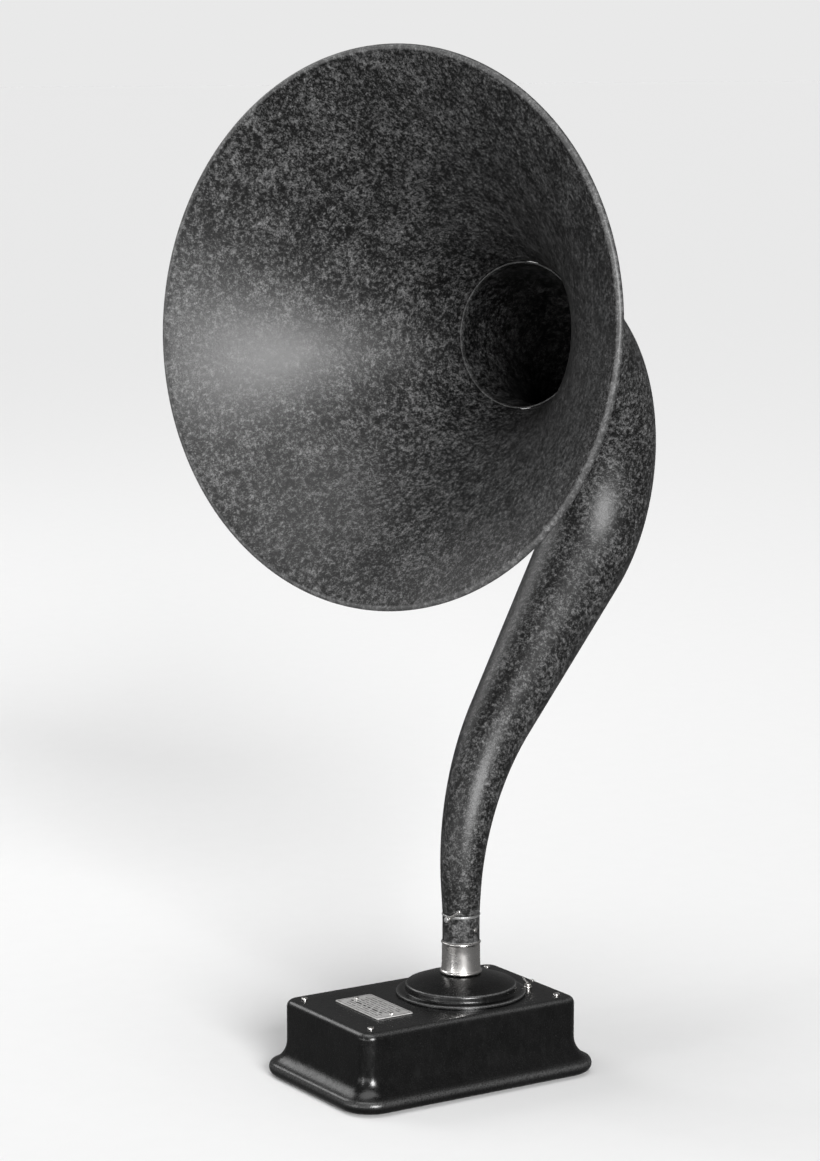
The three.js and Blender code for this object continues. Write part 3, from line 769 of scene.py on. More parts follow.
def makeDome():
    shoulder = dome["shoulder"]
    radius = dome["radius"]
    upper = [
        (dome["seat"], dome["top"]),
        *dome["crown"],
        *arc(shoulder - dome["edge"], dome["edgeZ"], dome["edge"], 75, 0, 8),
        (shoulder + 0.1, 72.6),
        *arc(shoulder + 1.9, 71.4, 1.7, 180, 262, 5),
        (shoulder + 4.5, 69.6),
        *arc(radius - dome["rim"], dome["rimZ"], dome["rim"], 90, 0, 5),
        (radius, dome["low"]),
    ]
    under = [
        (dome["ringOuter"], dome["low"]),
        (dome["ringOuter"], dome["ringLow"]),
        (dome["ringInner"], dome["ringLow"]),
        (dome["bore"] + 3, 68),
        (dome["bore"], 71),
        (dome["bore"], 75),
        (dome["seat"], 75),
    ]

    def wearAndHighlight(radius, height):
        # lighter lines along the shoulder and the rim: rubbed wear, and painted highlights
        edges = [(shoulder - 0.7, 75.8), (dome["radius"] - 0.4, 69.2)]
        near = min(math.hypot(radius - x, height - z) for x, z in edges)
        return dome["rubbedAndHighlight"] * math.exp(-((near / dome["rubAndHighlightSpread"]) ** 2))

    form = turnedForm(upper + under, 128, wearAndHighlight)
    settle("dome", meshOf(form, "dome"), "base", "base_lacquer", "dome_flange", place=overSocket)


makeDome()

# The nickelled socket with its bead, and the enamelled sleeve above it.

socket = {
    "spigot": 12.7,
    "low": 75.4,
    "beadZ": 86.7,
    "top": 113,
    "bore": 13,
    "throat": 9.5,
}


def makeSocket():
    spigot = socket["spigot"]
    section = [
        (socket["throat"], socket["low"]),
        (spigot, socket["low"]),
        (spigot, 85.3),
        *arc(16.8, socket["beadZ"], 1.4, -90, 70, 10),
        (17.05, 88.2),
        (16.9, 89.4),
        (16.55, 95),
        (16.4, 103),
        (16.4, 110.4),
        (16.55, 110.9),
        *arc(16.2, socket["top"] - 0.9, 0.9, -30, 90, 6),
        (socket["bore"], socket["top"]),
        (socket["bore"], 98),
        (socket["throat"], 98),
    ]
    form = turnedForm(section, 112)
    settle("socket", meshOf(form, "socket"), "base", "nickel", "socket_collar", place=overSocket)


makeSocket()

sleeve = {
    "radius": 16,
    "low": 113.3,
    "top": 137.3,
    "lip": 0.8,
    "studZ": 134.5,
    "studX": 17,
    "studRadius": 1.3,
    "studHead": 2.3,
}
leverTurn = 17  # degrees round the socket from -X towards -Y


def makeSleeve():
    radius = sleeve["radius"]
    top = sleeve["top"]
    section = [
        (10.5, 99),
        (12.7, 99),
        (12.7, sleeve["low"]),
        (radius - 0.4, sleeve["low"]),
        (radius, sleeve["low"] + 0.4),
        (radius, sleeve["low"] + 0.8),
        (radius, 121),
        (radius, 128),
        (radius, top - 2.1),
        *arc(radius - 0.2, top - sleeve["lip"], sleeve["lip"], -60, 90, 8),
        (13.3, top),
        (13.3, 117),
        (10.5, 117),
    ]

    def wearAndHighlight(radius, height):
        # the lip is painted as bare metal, a painted highlight along its top edge; the foot is partly
        # bared
        lip = 1.0 if height > sleeve["top"] - 1.7 and radius > 14 else 0.0
        foot = 0.4 if height < sleeve["low"] + 0.5 and radius > 14 else 0.0
        return max(lip, foot)

    ring = meshOf(turnedForm(section, 112, wearAndHighlight), "ring")
    studEnd = -sleeve["studX"] - 3.6
    rod = softened([(0, 0), (sleeve["studHead"], 0), (sleeve["studHead"], 1.2)], 0.4, 4, False)
    studSection = [*rod, (sleeve["studRadius"], 1.2), (sleeve["studRadius"], 5.6), (0, 5.6)]
    stud = meshOf(turnedForm(studSection, 32, lambda radius, height: 1.0), "stud")
    placed(stud, spun("Y", 90), shifted(studEnd, 0, sleeve["studZ"]), spun("Z", leverTurn))
    settle("sleeve", joined([ring, stud]), "base", "horn_enamel", "coupling_sleeve", place=overSocket)


makeSleeve()

lever = {
    "inner": 17,  # from the socket's axis to the lever's inner face
    "thickness": 2,
    "eye": 2.8,
    "hole": 1.6,
    "length": 17,
    "tip": 1.7,
    "waist": 0.95,
    "edge": 0.45,
    "tilt": 34,
    "height": 134.5,
}


def circlePoints(centreX, centreY, radius, start, end, steps):
    return [(x, y) for x, y in arc(centreX, centreY, radius, start, end, steps)]


def flatPlate(outlines, thickness, edge):
    # a plate with rounded edges, lying on z = 0, from closed outlines
    curve = bpy.data.curves.new("outline", "CURVE")
    curve.dimensions = "2D"
    curve.fill_mode = "BOTH"
    for points in outlines:
        spline = curve.splines.new("POLY")
        spline.points.add(len(points) - 1)
        for k, (x, y) in enumerate(points):
            spline.points[k].co = (x, y, 0, 1)
        spline.use_cyclic_u = True
    curve.extrude = thickness / 2 - edge
    curve.bevel_depth = edge
    curve.bevel_resolution = 3
    curve.offset = -edge
    mesh = frozen(hold(curve))
    placed(mesh, shifted(z=thickness / 2))
    return cleaned(mesh, 0.002)


def makeLever():
    length = lever["length"]
    eye = lever["eye"]
    outline = circlePoints(0, 0, eye, 28, 332, 40)
    waist = lever["waist"]
    outline += [(4.2, -1.15), (9, -waist), (length - 4, -1.1)]
    outline += circlePoints(length - lever["tip"], 0, lever["tip"], -60, 60, 14)
    outline += [(length - 4, 1.1), (9, waist), (4.2, 1.15)]
    hole = circlePoints(0, 0, lever["hole"], 0, 352.5, 47)
    mesh = flatPlate([outline, hole], lever["thickness"], lever["edge"])
    placed(
        mesh,
        spun("Y", -90),
        spun("X", 90),
        spun("X", -lever["tilt"]),
        shifted(-lever["inner"], 0, lever["height"]),
        spun("Z", leverTurn),
    )
    settle("locking_lever", mesh, "lock_lever", "nickel", "lock_lever", place=overSocket)


makeLever()
print("socket and lever made")

# Screws: one tree turns a domed head, cuts its slot and sets a copy on every point.

screwSizes = {
    "Head Radius": 2.9,
    "Head Height": 1.7,
    "Slot Width": 0.7,
    "Slot Depth": 0.9,
    "Shank Radius": 1.9,
    "Shank Length": 15.0,
    "Sides": 40,
}


def makeScrewTree():
    tree, bench, sizes = newTree("slottedScrews", screwSizes)
    grid, angle, row = bench.unrolled(sizes["Sides"], 13.0)
    # rows 0 to 9 run over the dome, 10 and 11 down the head's side, 12 and 13 down the shank
    domeShare = bench.math("MINIMUM", bench.math("DIVIDE", row, 9.0), 1.0)
    side = bench.remap(row, 9.0, 10.0)
    under = bench.remap(row, 10.0, 11.0)
    shank = bench.remap(row, 11.0, 12.0)
    tip = bench.remap(row, 12.0, 13.0)
    swing = bench.times(domeShare, math.pi / 2)
    headRadius = bench.times(bench.math("SINE", swing), sizes["Head Radius"])
    neckIn = bench.times(under, bench.math("SUBTRACT", sizes["Head Radius"], sizes["Shank Radius"]))
    tipIn = bench.times(tip, sizes["Shank Radius"])
    radius = bench.math("SUBTRACT", bench.math("SUBTRACT", headRadius, neckIn), tipIn)
    crown = bench.times(bench.math("POWER", bench.math("COSINE", swing), 0.8), 0.62)
    standing = bench.times(bench.math("ADD", crown, 0.38), sizes["Head Height"])
    fall = bench.times(bench.times(side, 0.38), sizes["Head Height"])
    drop = bench.times(shank, sizes["Shank Length"])
    height = bench.math("SUBTRACT", bench.math("SUBTRACT", standing, fall), drop)
    turnedHead = bench.turned(grid, radius, angle, height)
    head = bench.add("GeometryNodeMergeByDistance", {0: turnedHead, "Distance": 0.002})
    slotLength = bench.times(sizes["Head Radius"], 3.0)
    slotHeight = bench.times(sizes["Slot Depth"], 2.0)
    slotSize = bench.vector(slotLength, sizes["Slot Width"], slotHeight)
    cutter = bench.add("GeometryNodeMeshCube", {"Size": slotSize})
    slot = bench.add("GeometryNodeTransform", {
        "Geometry": cutter.outputs[0],
        "Translation": bench.vector(z=sizes["Head Height"]),
    })
    cut = bench.add("GeometryNodeMeshBoolean", {
        "Mesh 1": head.outputs[0],
        "Mesh 2": slot.outputs[0],
    }, operation="DIFFERENCE", solver="EXACT")
    turn = bench.add("GeometryNodeInputNamedAttribute", {"Name": "turn"}, data_type="FLOAT")
    spin = bench.add("FunctionNodeEulerToRotation", {0: bench.vector(z=turn.outputs[0])})
    copies = bench.add("GeometryNodeInstanceOnPoints", {
        "Points": sizes["Geometry"],
        "Instance": cut.outputs[0],
        "Rotation": spin.outputs[0],
    })
    endTree(bench, copies.outputs[0], sizes["Finish"])
    return tree


screwTree = makeScrewTree()


def screwSet(name, spots, sizes, slot, nodes, place=Matrix()):
    # spots are (x, y, z, turn in degrees) with the head facing +Z
    seats = bpy.data.meshes.new("seats")
    seats.from_pydata([spot[:3] for spot in spots], [], [])
    turns = seats.attributes.new("turn", "FLOAT", "POINT")
    turns.data.foreach_set("value", [math.radians(spot[3]) for spot in spots])
    mesh = cleaned(grown(screwTree, seats, {**screwSizes, **sizes}, finishes[slot]), 0.0008)
    return settle(name, mesh, "base", slot, *nodes, place=place, smooth=28)


topScrews = {"x": 94, "y": 53, "z": 67.3}


def makeTopScrews():
    signs = [(1, 1), (-1, 1), (-1, -1), (1, -1)]
    spots = [
        (signX * topScrews["x"], signY * topScrews["y"], topScrews["z"], 30 + 40 * i)
        for i, (signX, signY) in enumerate(signs)
    ]
    nodes = [f"top_screw_{i}" for i in range(1, 5)]
    screwSet("top_screws", spots, {"Shank Length": 13.5}, "nickel", nodes)


makeTopScrews()

setScrew = {"radius": 16.2, "height": 124.5, "turn": -75}


def makeSetScrew():
    sizes = {
        "Head Radius": 2.1,
        "Head Height": 1.4,
        "Slot Width": 0.6,
        "Slot Depth": 0.7,
        "Shank Radius": 1.4,
        "Shank Length": 2.3,
    }
    place = overSocket @ spun("Z", setScrew["turn"]) @ shifted(setScrew["radius"], 0, setScrew["height"])
    screwSet("set_screw", [(0, 0, 0, 60)], sizes, "nickel", ["sleeve_set_screw"], place @ spun("Y", 90))


makeSetScrew()

# The nameplate: a plain etched plate with a border and blank rules, and two small screws.

nameplate = {
    "x": -57.5,
    "width": 36,
    "length": 68,
    "low": 67.3,
    "thickness": 0.8,
    "corner": 2.0,
    "screwY": 28,
    "border": 1.6,
    "line": 0.45,
    "fillHeight": 0.05,
    "rows": 8,
    "rowPitch": 3.6,
    "dashWidth": 0.75,
    "titleWidth": 1.8,
    "seed": 4,
}


def roundedRectangle(width, length, corner, steps=6):
    points = []
    for quarter, (signX, signY) in enumerate([(1, 1), (-1, 1), (-1, -1), (1, -1)]):
        centreX = signX * (width / 2 - corner)
        centreY = signY * (length / 2 - corner)
        points += circlePoints(centreX, centreY, corner, 90 * quarter, 90 * quarter + 90, steps)
    return points


def makeNameplate():
    outline = roundedRectangle(nameplate["width"], nameplate["length"], nameplate["corner"])
    mesh = flatPlate([outline], nameplate["thickness"], 0.18)
    place = shifted(nameplate["x"], 0, nameplate["low"])
    settle("plate", mesh, "base", "etched_silver", "nameplate", place=place)

    border = nameplate["border"]
    line = nameplate["line"]
    lift = nameplate["thickness"] - 0.02
    rules = []

    def addRule(outlines):
        rules.append(placed(flatPlate(outlines, nameplate["fillHeight"], 0.01), shifted(z=lift)))

    outer = roundedRectangle(nameplate["width"] - 2 * border, nameplate["length"] - 2 * border, 1.4)
    inner = roundedRectangle(
        nameplate["width"] - 2 * border - 2 * line,
        nameplate["length"] - 2 * border - 2 * line,
        1.0,
    )
    addRule([outer, inner])
    dice = random.Random(nameplate["seed"])
    reach = nameplate["length"] / 2 - 4 * border
    for i in range(nameplate["rows"]):
        x = (i - (nameplate["rows"] - 1) / 2) * nameplate["rowPitch"]
        width = nameplate["titleWidth"] if i == 2 else nameplate["dashWidth"]
        y = -reach + dice.uniform(0, 7)
        while y < reach - 4:
            length = min(dice.uniform(4, 12), reach - y)
            dash = roundedRectangle(width, length, width * 0.3, 2)
            addRule([[(px + x, py + y + length / 2) for px, py in dash]])
            y += length + dice.uniform(1.2, 2.4)
    settle("plate_rules", joined(rules), "base", "base_lacquer", place=place)
    screwZ = nameplate["low"] + nameplate["thickness"] + 0.02
    spots = [
        (nameplate["x"], side * nameplate["screwY"], screwZ, 25 + 60 * i)
        for i, side in enumerate((-1, 1))
    ]
    sizes = {
        "Head Radius": 2.0,
        "Head Height": 1.3,
        "Slot Width": 0.5,
        "Slot Depth": 0.6,
        "Shank Radius": 1.0,
        "Shank Length": 4.5,
    }
    nodes = ["nameplate_screw_1", "nameplate_screw_2"]
    screwSet("plate_screws", spots, sizes, "nickel", nodes)


makeNameplate()
print("screws and nameplate made")

# The field switch: a nickelled bush and a winged key.

switch = {
    "x": 88,
    "y": -19,
    "keyTurn": -75,
    "hubLow": 68.9,
    "hubHigh": 70.3,
    "hubRadius": 3,
    "shaftRadius": 1.8,
    "earTop": 75,
    "earReach": 4.9,
    "earTip": 1.4,
    "earThickness": 2,
    "earEdge": 0.5,
}


def makeSwitch():
    place = shifted(switch["x"], switch["y"])
    bush = [
        (2.1, 64.5),
        (3.2, 64.5),
        (3.2, 67.3),
        (3.65, 67.3),
        (3.8, 67.4),
        (3.8, 67.7),
        (3.7, 67.87),
        (3.5, 67.9),
        (3.0, 68.2),
        (2.9, 68.35),
        (2.9, 68.5),
        (2.8, 68.6),
        (2.1, 68.6),
    ]
    settle("bush", meshOf(turnedForm(bush, 48), "bush"), "base", "nickel", "switch_bush", place=place)

    low = switch["hubLow"]
    high = switch["hubHigh"]
    shaft = switch["shaftRadius"]
    outer = switch["hubRadius"]
    collar = [(2.2, low), (outer, low), (outer, high), (2.4, high)]
    hub = [(0, 66.2), (shaft, 66.2), (shaft, low), *softened(collar, 0.5, 3, False), (0, high + 0.2)]
    earTop = switch["earTop"]
    reach = switch["earReach"]
    tip = switch["earTip"]
    outline = [(-2.6, low + 0.6), (2.6, low + 0.6), (6.2, earTop - 2.4)]
    outline += circlePoints(reach, earTop - tip, tip, -20, 165, 14)
    outline += [(1.4, high + 1.6), (0, high + 0.8), (-1.4, high + 1.6)]
    outline += circlePoints(-reach, earTop - tip, tip, 15, 200, 14)
    outline += [(-6.2, earTop - 2.4)]
    wings = flatPlate([outline], switch["earThickness"], switch["earEdge"])
    placed(wings, shifted(z=-switch["earThickness"] / 2), spun("X", 90))
    key = joined([meshOf(turnedForm(hub, 48), "hub"), wings])
    place = place @ spun("Z", switch["keyTurn"])
    settle("key", key, "switch_key", "nickel", "switch_key", place=place)


makeSwitch()

# The terminals: a rubber strip, four binding posts and their knurled nuts.

terminals = {
    "face": 113.8,  # the strip's outer face along X
    "wallEnd": 108.8,
    "height": 48,
    "rows": (30, 10, -10, -30),
    "stripWidth": 90,
    "stripHeight": 16,
    "screwY": 39,
    "postEnd": 122.0,
    "postStart": 99.5,
    "postRadius": 2.0,
    "pitch": 0.7,
    "threadDepth": 0.28,
    "hexRadius": 4.6,
    "hexHeight": 1.2,
}

nutSizes = {
    "Radius": 5.0,
    "Bore": 2.3,
    "Length": 5.4,
    "Edge": 0.5,
    "Ribs": 26,
    "Rib Depth": 0.45,
    "Steps": 156,
}


def makeNutTree():
    # a ring whose outside is drawn in between its ribs
    tree, bench, sizes = newTree("knurledNut", nutSizes)
    middle = bench.times(bench.total(sizes["Radius"], sizes["Bore"]), 0.5)
    path = bench.add("GeometryNodeCurvePrimitiveCircle", {"Resolution": sizes["Steps"], "Radius": middle})
    section = bench.add("GeometryNodeCurvePrimitiveQuadrilateral", {
        "Width": bench.math("SUBTRACT", sizes["Radius"], sizes["Bore"]),
        "Height": sizes["Length"],
    })
    soft = bench.add("GeometryNodeFilletCurve", {
        "Curve": section.outputs[0],
        "Count": 4,
        "Radius": sizes["Edge"],
    }, mode="POLY")
    ring = bench.add("GeometryNodeCurveToMesh", {
        "Curve": path.outputs[0],
        "Profile Curve": soft.outputs[0],
    })
    x, y, z = bench.place()
    reach = bench.math("SQRT", bench.total(bench.times(x, x), bench.times(y, y)))
    angle = bench.math("ARCTAN2", y, x)
    wave = bench.math("COSINE", bench.times(angle, sizes["Ribs"]))
    dip = bench.times(bench.math("SUBTRACT", 1.0, wave), 0.5)
    outer = bench.remap(reach, middle, sizes["Radius"])
    shrink = bench.times(bench.times(dip, sizes["Rib Depth"]), outer)
    factor = bench.math("DIVIDE", bench.math("SUBTRACT", reach, shrink), reach)
    ribbed = bench.moved(ring.outputs[0], bench.times(x, factor), bench.times(y, factor), z)
    endTree(bench, ribbed, sizes["Finish"])
    return tree


def makeTerminals():
    alongX = spun("Y", 90)
    height = terminals["height"]
    thickness = terminals["face"] - terminals["wallEnd"]
    outline = roundedRectangle(terminals["stripHeight"], terminals["stripWidth"], 1.6, 5)
    strip = flatPlate([outline], thickness, 0.7)
    placed(strip, alongX, shifted(terminals["wallEnd"], 0, height))
    settle("rubber_strip", strip, "base", "hard_rubber", "terminal_strip")

    nutTree = makeNutTree()
    postParts = []
    radius = terminals["postRadius"]
    start = terminals["postStart"]
    end = terminals["postEnd"]
    face = terminals["face"]
    pitch = terminals["pitch"]
    valley = radius - terminals["threadDepth"]
    for i, y in enumerate(terminals["rows"], 1):
        section = [(0, start), (radius - 0.3, start), (radius, start + 0.3), (radius, face + 0.3)]
        thread = face + 1.5
        while thread < end - 1.0:
            section.append((radius, thread + pitch * 0.15))
            section.append((valley, thread + pitch * 0.5))
            section.append((radius, thread + pitch * 0.85))
            thread += pitch
        section += [(radius, end - 0.7), (radius - 0.25, end - 0.3), (radius - 0.8, end), (0, end)]
        rod = meshOf(turnedForm(section, 32), "rod")
        hexagon = circlePoints(0, 0, terminals["hexRadius"], 0, 300, 5)
        hole = circlePoints(0, 0, radius + 0.02, 0, 345, 23)
        collar = placed(flatPlate([hexagon, hole], terminals["hexHeight"], 0.2), shifted(z=face + 0.3))
        postParts.append(placed(joined([rod, collar]), alongX, shifted(0, y, height)))
        mesh = cleaned(grown(nutTree, bpy.data.meshes.new("seat"), nutSizes, nickel))
        placed(mesh, alongX, shifted(face + 2 + nutSizes["Length"] / 2, y, height))
        settle(f"knurled_nut_{i}", mesh, f"terminal_nut_{i}", "nickel", f"terminal_nut_{i}", smooth=40)
    nodes = [f"terminal_post_{i}" for i in range(1, 5)]
    settle("binding_posts", joined(postParts), "base", "brass", *nodes)
    screwY = terminals["screwY"]
    spots = [(-height, side * screwY, face + 0.02, 90 * i) for i, side in enumerate((-1, 1))]
    sizes = {
        "Head Radius": 2.6,
        "Head Height": 1.6,
        "Slot Width": 0.6,
        "Slot Depth": 0.8,
        "Shank Radius": 1.2,
        "Shank Length": 8.0,
    }
    nodes = ["strip_screw_1", "strip_screw_2"]
    screwSet("strip_screws", spots, sizes, "nickel", nodes, place=alongX)


makeTerminals()
print("switch and terminals made")

# The gooseneck: a taper that follows two bends in the horn's own upright plane.

neck = {
    "foot": 137.6,
    "bendStart": 158.6,
    "lowerRadius": 195,
    "lean": 45.8,
    "straight": 170,
    "upperRadius": 121.7,
    "tail": 20.5,
    "tilt": 5.4,  # the bell looks up by this much
}
neckSizes = {
    "Foot Radius": 15.4,
    "Mouth Radius": 63.0,
    "Foot Swell": 0.6,
    "Swell Reach": 25.0,
    "Stations": 150,
    "Sides": 96,
}
neckWall = 1.4
hornTurn = 21.6
inHorn = overSocket @ spun("Z", hornTurn)


def neckLine():
    lean = math.radians(neck["lean"])
    tilt = math.radians(neck["tilt"])
    lower = neck["lowerRadius"]
    upper = neck["upperRadius"]
    points = [Vector((0, lerp(neck["foot"], neck["bendStart"], k / 6))) for k in range(6)]
    for k in range(60):
        angle = math.pi - lean * k / 60
        x = lower + lower * math.cos(angle)
        points.append(Vector((x, neck["bendStart"] + lower * math.sin(angle))))
    start = Vector((lower - lower * math.cos(lean), neck["bendStart"] + lower * math.sin(lean)))
    heading = Vector((math.sin(lean), math.cos(lean)))
    points += [start + heading * neck["straight"] * k / 40 for k in range(40)]
    end = start + heading * neck["straight"]
    centre = Vector((end.x - upper * math.cos(lean), end.y + upper * math.sin(lean)))
    sweep = math.pi / 2 - tilt + lean
    for k in range(91):
        angle = -lean + sweep * k / 90
        points.append(centre + upper * Vector((math.cos(angle), math.sin(angle))))
    last = Vector((-math.cos(tilt), math.sin(tilt)))
    bendEnd = points[-1].copy()
    points += [bendEnd + last * neck["tail"] * k / 5 for k in range(1, 6)]
    return points


def makeNeckTree():
    tree, bench, sizes = newTree("taperedNeck", neckSizes)
    line = bench.add("GeometryNodeResampleCurve", {"Curve": sizes["Geometry"], "Count": sizes["Stations"]})
    share = bench.add("GeometryNodeSplineParameter").outputs["Factor"]
    opening = bench.math("SUBTRACT", sizes["Mouth Radius"], sizes["Foot Radius"])
    along = bench.add("GeometryNodeSplineParameter").outputs["Length"]
    fade = bench.math("EXPONENT", bench.math("DIVIDE", along, bench.times(sizes["Swell Reach"], -1.0)))
    radius = bench.total(
        sizes["Foot Radius"],
        bench.times(share, opening),
        bench.times(fade, sizes["Foot Swell"]),
    )
    tagged = bench.wornAndHighlight(line.outputs[0], bench.remap(share, 0.9972, 1.0, 0.0, 0.05))
    ring = bench.add("GeometryNodeCurvePrimitiveCircle", {"Resolution": sizes["Sides"], "Radius": 1.0})
    skin = bench.add("GeometryNodeCurveToMesh", {
        "Curve": tagged,
        "Profile Curve": ring.outputs[0],
        "Scale": radius,
    })
    endTree(bench, skin.outputs[0], sizes["Finish"])
    return tree


def walled(mesh, thickness, rim=0.0):
    # gives an open skin its wall, on the side away from its faces
    holder = hold(mesh)
    modifier = holder.modifiers.new("wall", "SOLIDIFY")
    modifier.thickness = thickness
    modifier.offset = -1
    modifier.use_even_offset = True
    mesh = frozen(holder)
    return bevelled(mesh, rim, 2, 60) if rim else mesh


def makeNeck():
    curve = bpy.data.curves.new("neckLine", "CURVE")
    curve.dimensions = "3D"
    points = neckLine()
    spline = curve.splines.new("POLY")
    spline.points.add(len(points) - 1)
    for k, point in enumerate(points):
        spline.points[k].co = (point.x, 0, point.y, 1)
    mesh = grown(makeNeckTree(), curve, neckSizes, hornEnamel)
    mesh = walled(cleaned(mesh), neckWall, 0.35)
    settle("gooseneck_tube", mesh, "horn", "horn_enamel", "gooseneck", place=inHorn)
    return points[-1]


throat = makeNeck()

ferrule = {"outer": 13, "inner": 11.6, "low": 117.3, "shoulder": 13.6, "reach": 12}


def makeFerrule():
    foot = neck["foot"]
    section = [
        (ferrule["inner"], ferrule["low"]),
        (ferrule["outer"], ferrule["low"]),
        (ferrule["outer"], foot),
        (ferrule["shoulder"], foot),
        (ferrule["shoulder"], foot + ferrule["reach"]),
        (ferrule["inner"], foot + ferrule["reach"]),
    ]
    form = turnedForm(softened(section, 0.25), 72)
    settle("ferrule", meshOf(form, "ferrule"), "horn", "brass", "neck_ferrule", place=inHorn)


makeFerrule()

# The bell: a sheet that opens on an exponential curve into a rolled rim.

bellSizes = {
    "Throat Radius": 63.3,
    "Roll Radius": 225.2,  # to the middle of the rolled rim
    "Roll Height": 201.4,
    "Rim Radius": 3.4,
    "Flare": 1.3,
    "Collar": 11.0,
    "Roll Start": math.radians(125),
    "Roll End": math.radians(-150),
    "Collar Rows": 3.0,
    "Flare Rows": 72.0,
    "Roll Rows": 18.0,
    "Sides": 240,
}
bellSheet = 1.0
inBell = inHorn @ shifted(throat.x, 0, throat.y) @ spun("Y", neck["tilt"] - 90)


def makeBellTree():
    tree, bench, sizes = newTree("flaredBell", bellSizes)
    rows = bench.total(sizes["Collar Rows"], sizes["Flare Rows"], sizes["Roll Rows"])
    grid, angle, row = bench.unrolled(sizes["Sides"], rows)
    flareEnd = bench.total(sizes["Collar Rows"], sizes["Flare Rows"])
    onCollar = bench.remap(row, 0.0, sizes["Collar Rows"])
    onFlare = bench.remap(row, sizes["Collar Rows"], flareEnd)
    onRoll = bench.remap(row, flareEnd, rows)

    def rollPoint(turn):
        rim = sizes["Rim Radius"]
        radius = bench.math("MULTIPLY_ADD", bench.math("COSINE", turn), rim, sizes["Roll Radius"])
        height = bench.math("MULTIPLY_ADD", bench.math("SINE", turn), rim, sizes["Roll Height"])
        return radius, height

    lipRadius, lipHeight = rollPoint(sizes["Roll Start"])
    sweep = bench.math("SUBTRACT", sizes["Roll End"], sizes["Roll Start"])
    turn = bench.math("MULTIPLY_ADD", onRoll, sweep, sizes["Roll Start"])
    rollRadius, rollHeight = rollPoint(turn)

    def growth(share):
        return bench.math("SUBTRACT", bench.math("EXPONENT", bench.times(share, sizes["Flare"])), 1.0)

    opened = bench.math("DIVIDE", growth(onFlare), growth(1.0))
    widening = bench.times(opened, bench.math("SUBTRACT", lipRadius, sizes["Throat Radius"]))
    radius = bench.total(sizes["Throat Radius"], widening, bench.math("SUBTRACT", rollRadius, lipRadius))
    behind = bench.times(bench.math("SUBTRACT", onCollar, 1.0), sizes["Collar"])
    rise = bench.times(onFlare, lipHeight)
    height = bench.total(behind, rise, bench.math("SUBTRACT", rollHeight, lipHeight))
    wearAndHighlight = bench.times(bench.remap(onRoll, 0.0, 0.12), bench.remap(onRoll, 0.6, 0.3))
    tagged = bench.wornAndHighlight(grid, bench.times(wearAndHighlight, 0.07))
    sheet = bench.turned(tagged, radius, angle, height)
    seamless = bench.add("GeometryNodeMergeByDistance", {0: sheet, "Distance": 0.01})
    endTree(bench, seamless.outputs[0], sizes["Finish"])
    return tree


def makeBell():
    mesh = grown(makeBellTree(), bpy.data.meshes.new("seed"), bellSizes, hornEnamel)
    mesh = cleaned(mesh, 0.001, outward=False)
    # the sheet's own faces look into the horn, and its wall is on the outside
    probe = mesh.polygons[len(mesh.polygons) // 2]
    if probe.normal.dot(Vector((probe.center.x, probe.center.y, 0))) > 0:
        mesh.flip_normals()
    mesh = walled(mesh, bellSheet)
    settle("bell_sheet", mesh, "horn", "horn_enamel", "bell", place=inBell)


makeBell()

throatBand = {"inner": 64.6, "outer": 66.6, "low": -10, "high": -2, "edge": 0.7}


def makeThroatBand():
    section = [
        (throatBand["inner"], throatBand["low"]),
        (throatBand["outer"], throatBand["low"]),
        (throatBand["outer"], throatBand["high"]),
        (throatBand["inner"], throatBand["high"]),
    ]
    form = turnedForm(softened(section, throatBand["edge"], 4), 160)
    settle("throat_band", meshOf(form, "band"), "horn", "horn_enamel", "throat_ring", place=inBell)


makeThroatBand()
print("horn made")

# The driver's coils: wire wound on its formers.

coils = {
    "former": (12.35, 12.65, 48.5, 58.7),  # the top clears the diaphragm when the coil rises
    "voice": (12.95, 13.4, 48.8, 53.0),
    "field": (14.1, 29.5, 19.3, 44.3),
    "voiceWire": 0.42,
    "fieldWire": 0.9,
}


def woundSection(size, wire):
    # a winding's section, with a ridge for each turn on its outside
    inner, outer, low, high = size
    turns = round((high - low) / wire)
    half = (high - low) / turns / 2
    points = [(inner, low)]
    for k in range(turns):
        points += arc(outer - half, low + (2 * k + 1) * half, half, -80, 80, 6)
    return [*points, (inner, high)]


def makeCoils():
    inner, outer, low, high = coils["former"]
    tube = turnedForm(softened([(inner, low), (outer, low), (outer, high), (inner, high)], 0.08))
    voice = turnedForm(woundSection(coils["voice"], coils["voiceWire"]))
    field = turnedForm(woundSection(coils["field"], coils["fieldWire"]))
    rows = [
        ("coil_former", tube, "voice_coil", "fibre", "voice_coil_former"),
        ("coil_wire", voice, "voice_coil", "copper_wire", "voice_coil_winding"),
        ("field_wire", field, "base", "copper_wire", "field_coil_winding"),
    ]
    for name, form, body, slot, node in rows:
        settle(name, meshOf(form, name), body, slot, node, place=overSocket, smooth=50)


makeCoils()
print("coils made")

# Pieces of the frame that stay as they are take their finish from the record.

for row in frame["record"]["subparts"]:
    node = frame["nodes"][row["node"]]
    if not node.hide_render:
        node.data.materials.clear()
        node.data.materials.append(finishes[row["material_slot"]])
print("frame dressed")

# The studio: a pale floor, a pale surround, soft lights and the camera.

studio = {
    "floorSize": 60.0,
    "floorShade": 0.82,
    "backdrop": 0.815,
    "ambient": 0.13,
    "sunReach": 3.0,
    "aim": (0.0, 0.0, 0.5),
}
cameraView = {
    "distance": 2.81985,
    "height": 0.87391,
    "around": -33.18,  # degrees round the object from the -Y side
    "heading": 32.82,
    "pitch": 8.98,
    "lens": 105.43,
}
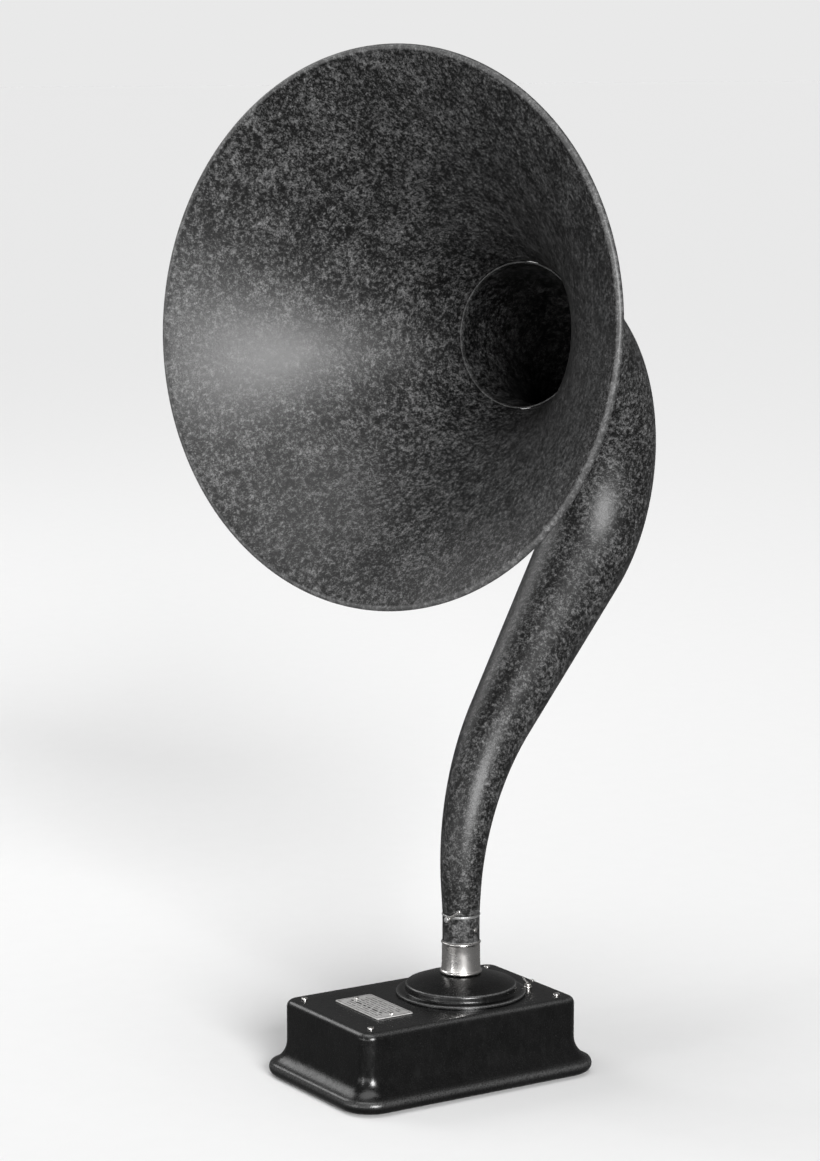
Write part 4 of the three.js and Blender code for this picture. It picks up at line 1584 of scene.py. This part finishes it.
# turn is degrees to the left of the camera, rise is degrees up
suns = {
    "key": {"turn": -17, "rise": 17, "angle": 24, "power": 4.6},
    "overhead": {"turn": 20, "rise": 78, "angle": 50, "power": 1.35},
}
lamps = {
    "window": {"turn": 30, "rise": -1, "reach": 6.0, "size": (6.0, 1.2), "power": 50},
    "side": {"turn": 76, "rise": -1, "reach": 6.0, "size": (3.4, 1.2), "power": 22},
    "strip": {"turn": 52, "rise": 4, "reach": 6.0, "size": (0.48, 3.0), "power": 55},
    "edge": {"turn": 126, "rise": 32, "reach": 4.0, "size": (1.9, 1.9), "power": 34},
}


def makeWorld():
    world = bpy.data.worlds.new("studio")
    bpy.context.scene.world = world
    world.use_nodes = True
    bench = Bench(world.node_tree)
    world.node_tree.nodes.clear()
    toCamera = bench.add("ShaderNodeLightPath").outputs["Is Camera Ray"]
    shown = bench.add("ShaderNodeBackground", {"Color": grey(1.0), "Strength": studio["backdrop"]})
    dim = bench.add("ShaderNodeBackground", {"Color": grey(1.0), "Strength": studio["ambient"]})
    mixed = bench.add("ShaderNodeMixShader", {0: toCamera, 1: dim.outputs[0], 2: shown.outputs[0]})
    bench.add("ShaderNodeOutputWorld", {0: mixed.outputs[0]})


def makeFloor():
    form = bmesh.new()
    bmesh.ops.create_grid(form, x_segments=8, y_segments=8, size=studio["floorSize"])
    mesh = meshOf(form, "floor")
    finish = Finish("paleFloor")
    bench = finish.bench
    grain = bench.noise(finish.place, 40.0)
    color = bench.blend(grain, grey(studio["floorShade"]), grey(studio["floorShade"] + 0.02))
    mesh.materials.append(finish.set(color=color, rough=0.9, specular=0.0))
    floor = hold(mesh, "floor")
    floor.visible_glossy = False


def around(turn, rise, reach):
    azimuth = math.radians(turn)
    up = math.radians(rise)
    aim = Vector(studio["aim"])
    flat = math.cos(up) * reach
    return aim + Vector((math.sin(azimuth) * flat, -math.cos(azimuth) * flat, math.sin(up) * reach))


def hang(light, name, lamp, reach):
    # puts a light where its entry says, facing the object
    holder = hold(light, name)
    holder.location = around(cameraView["around"] - lamp["turn"], lamp["rise"], reach)
    toAim = Vector(studio["aim"]) - holder.location
    holder.rotation_euler = toAim.to_track_quat("-Z", "Y").to_euler()


def makeLamps():
    for name, lamp in lamps.items():
        light = bpy.data.lights.new(name, "AREA")
        light.shape = "RECTANGLE"
        light.size, light.size_y = lamp["size"]
        light.energy = lamp["power"]
        hang(light, name, lamp, lamp["reach"])
    for name, lamp in suns.items():
        light = bpy.data.lights.new(name, "SUN")
        light.energy = lamp["power"]
        light.angle = math.radians(lamp["angle"])
        hang(light, name, lamp, studio["sunReach"])


def makeCamera():
    camera = bpy.data.cameras.new("camera")
    camera.lens = cameraView["lens"]
    camera.sensor_width = 36
    holder = hold(camera, "camera")
    angle = math.radians(cameraView["around"])
    distance = cameraView["distance"]
    holder.location = (math.sin(angle) * distance, -math.cos(angle) * distance, cameraView["height"])
    heading = math.radians(cameraView["heading"])
    pitch = math.radians(cameraView["pitch"])
    look = Vector((
        math.sin(heading) * math.cos(pitch),
        math.cos(heading) * math.cos(pitch),
        -math.sin(pitch),
    ))
    holder.rotation_euler = look.to_track_quat("-Z", "Y").to_euler()
    bpy.context.scene.camera = holder


makeWorld()
makeFloor()
makeLamps()
makeCamera()
bpy.context.scene.view_settings.view_transform = "Standard"
print("studio made")
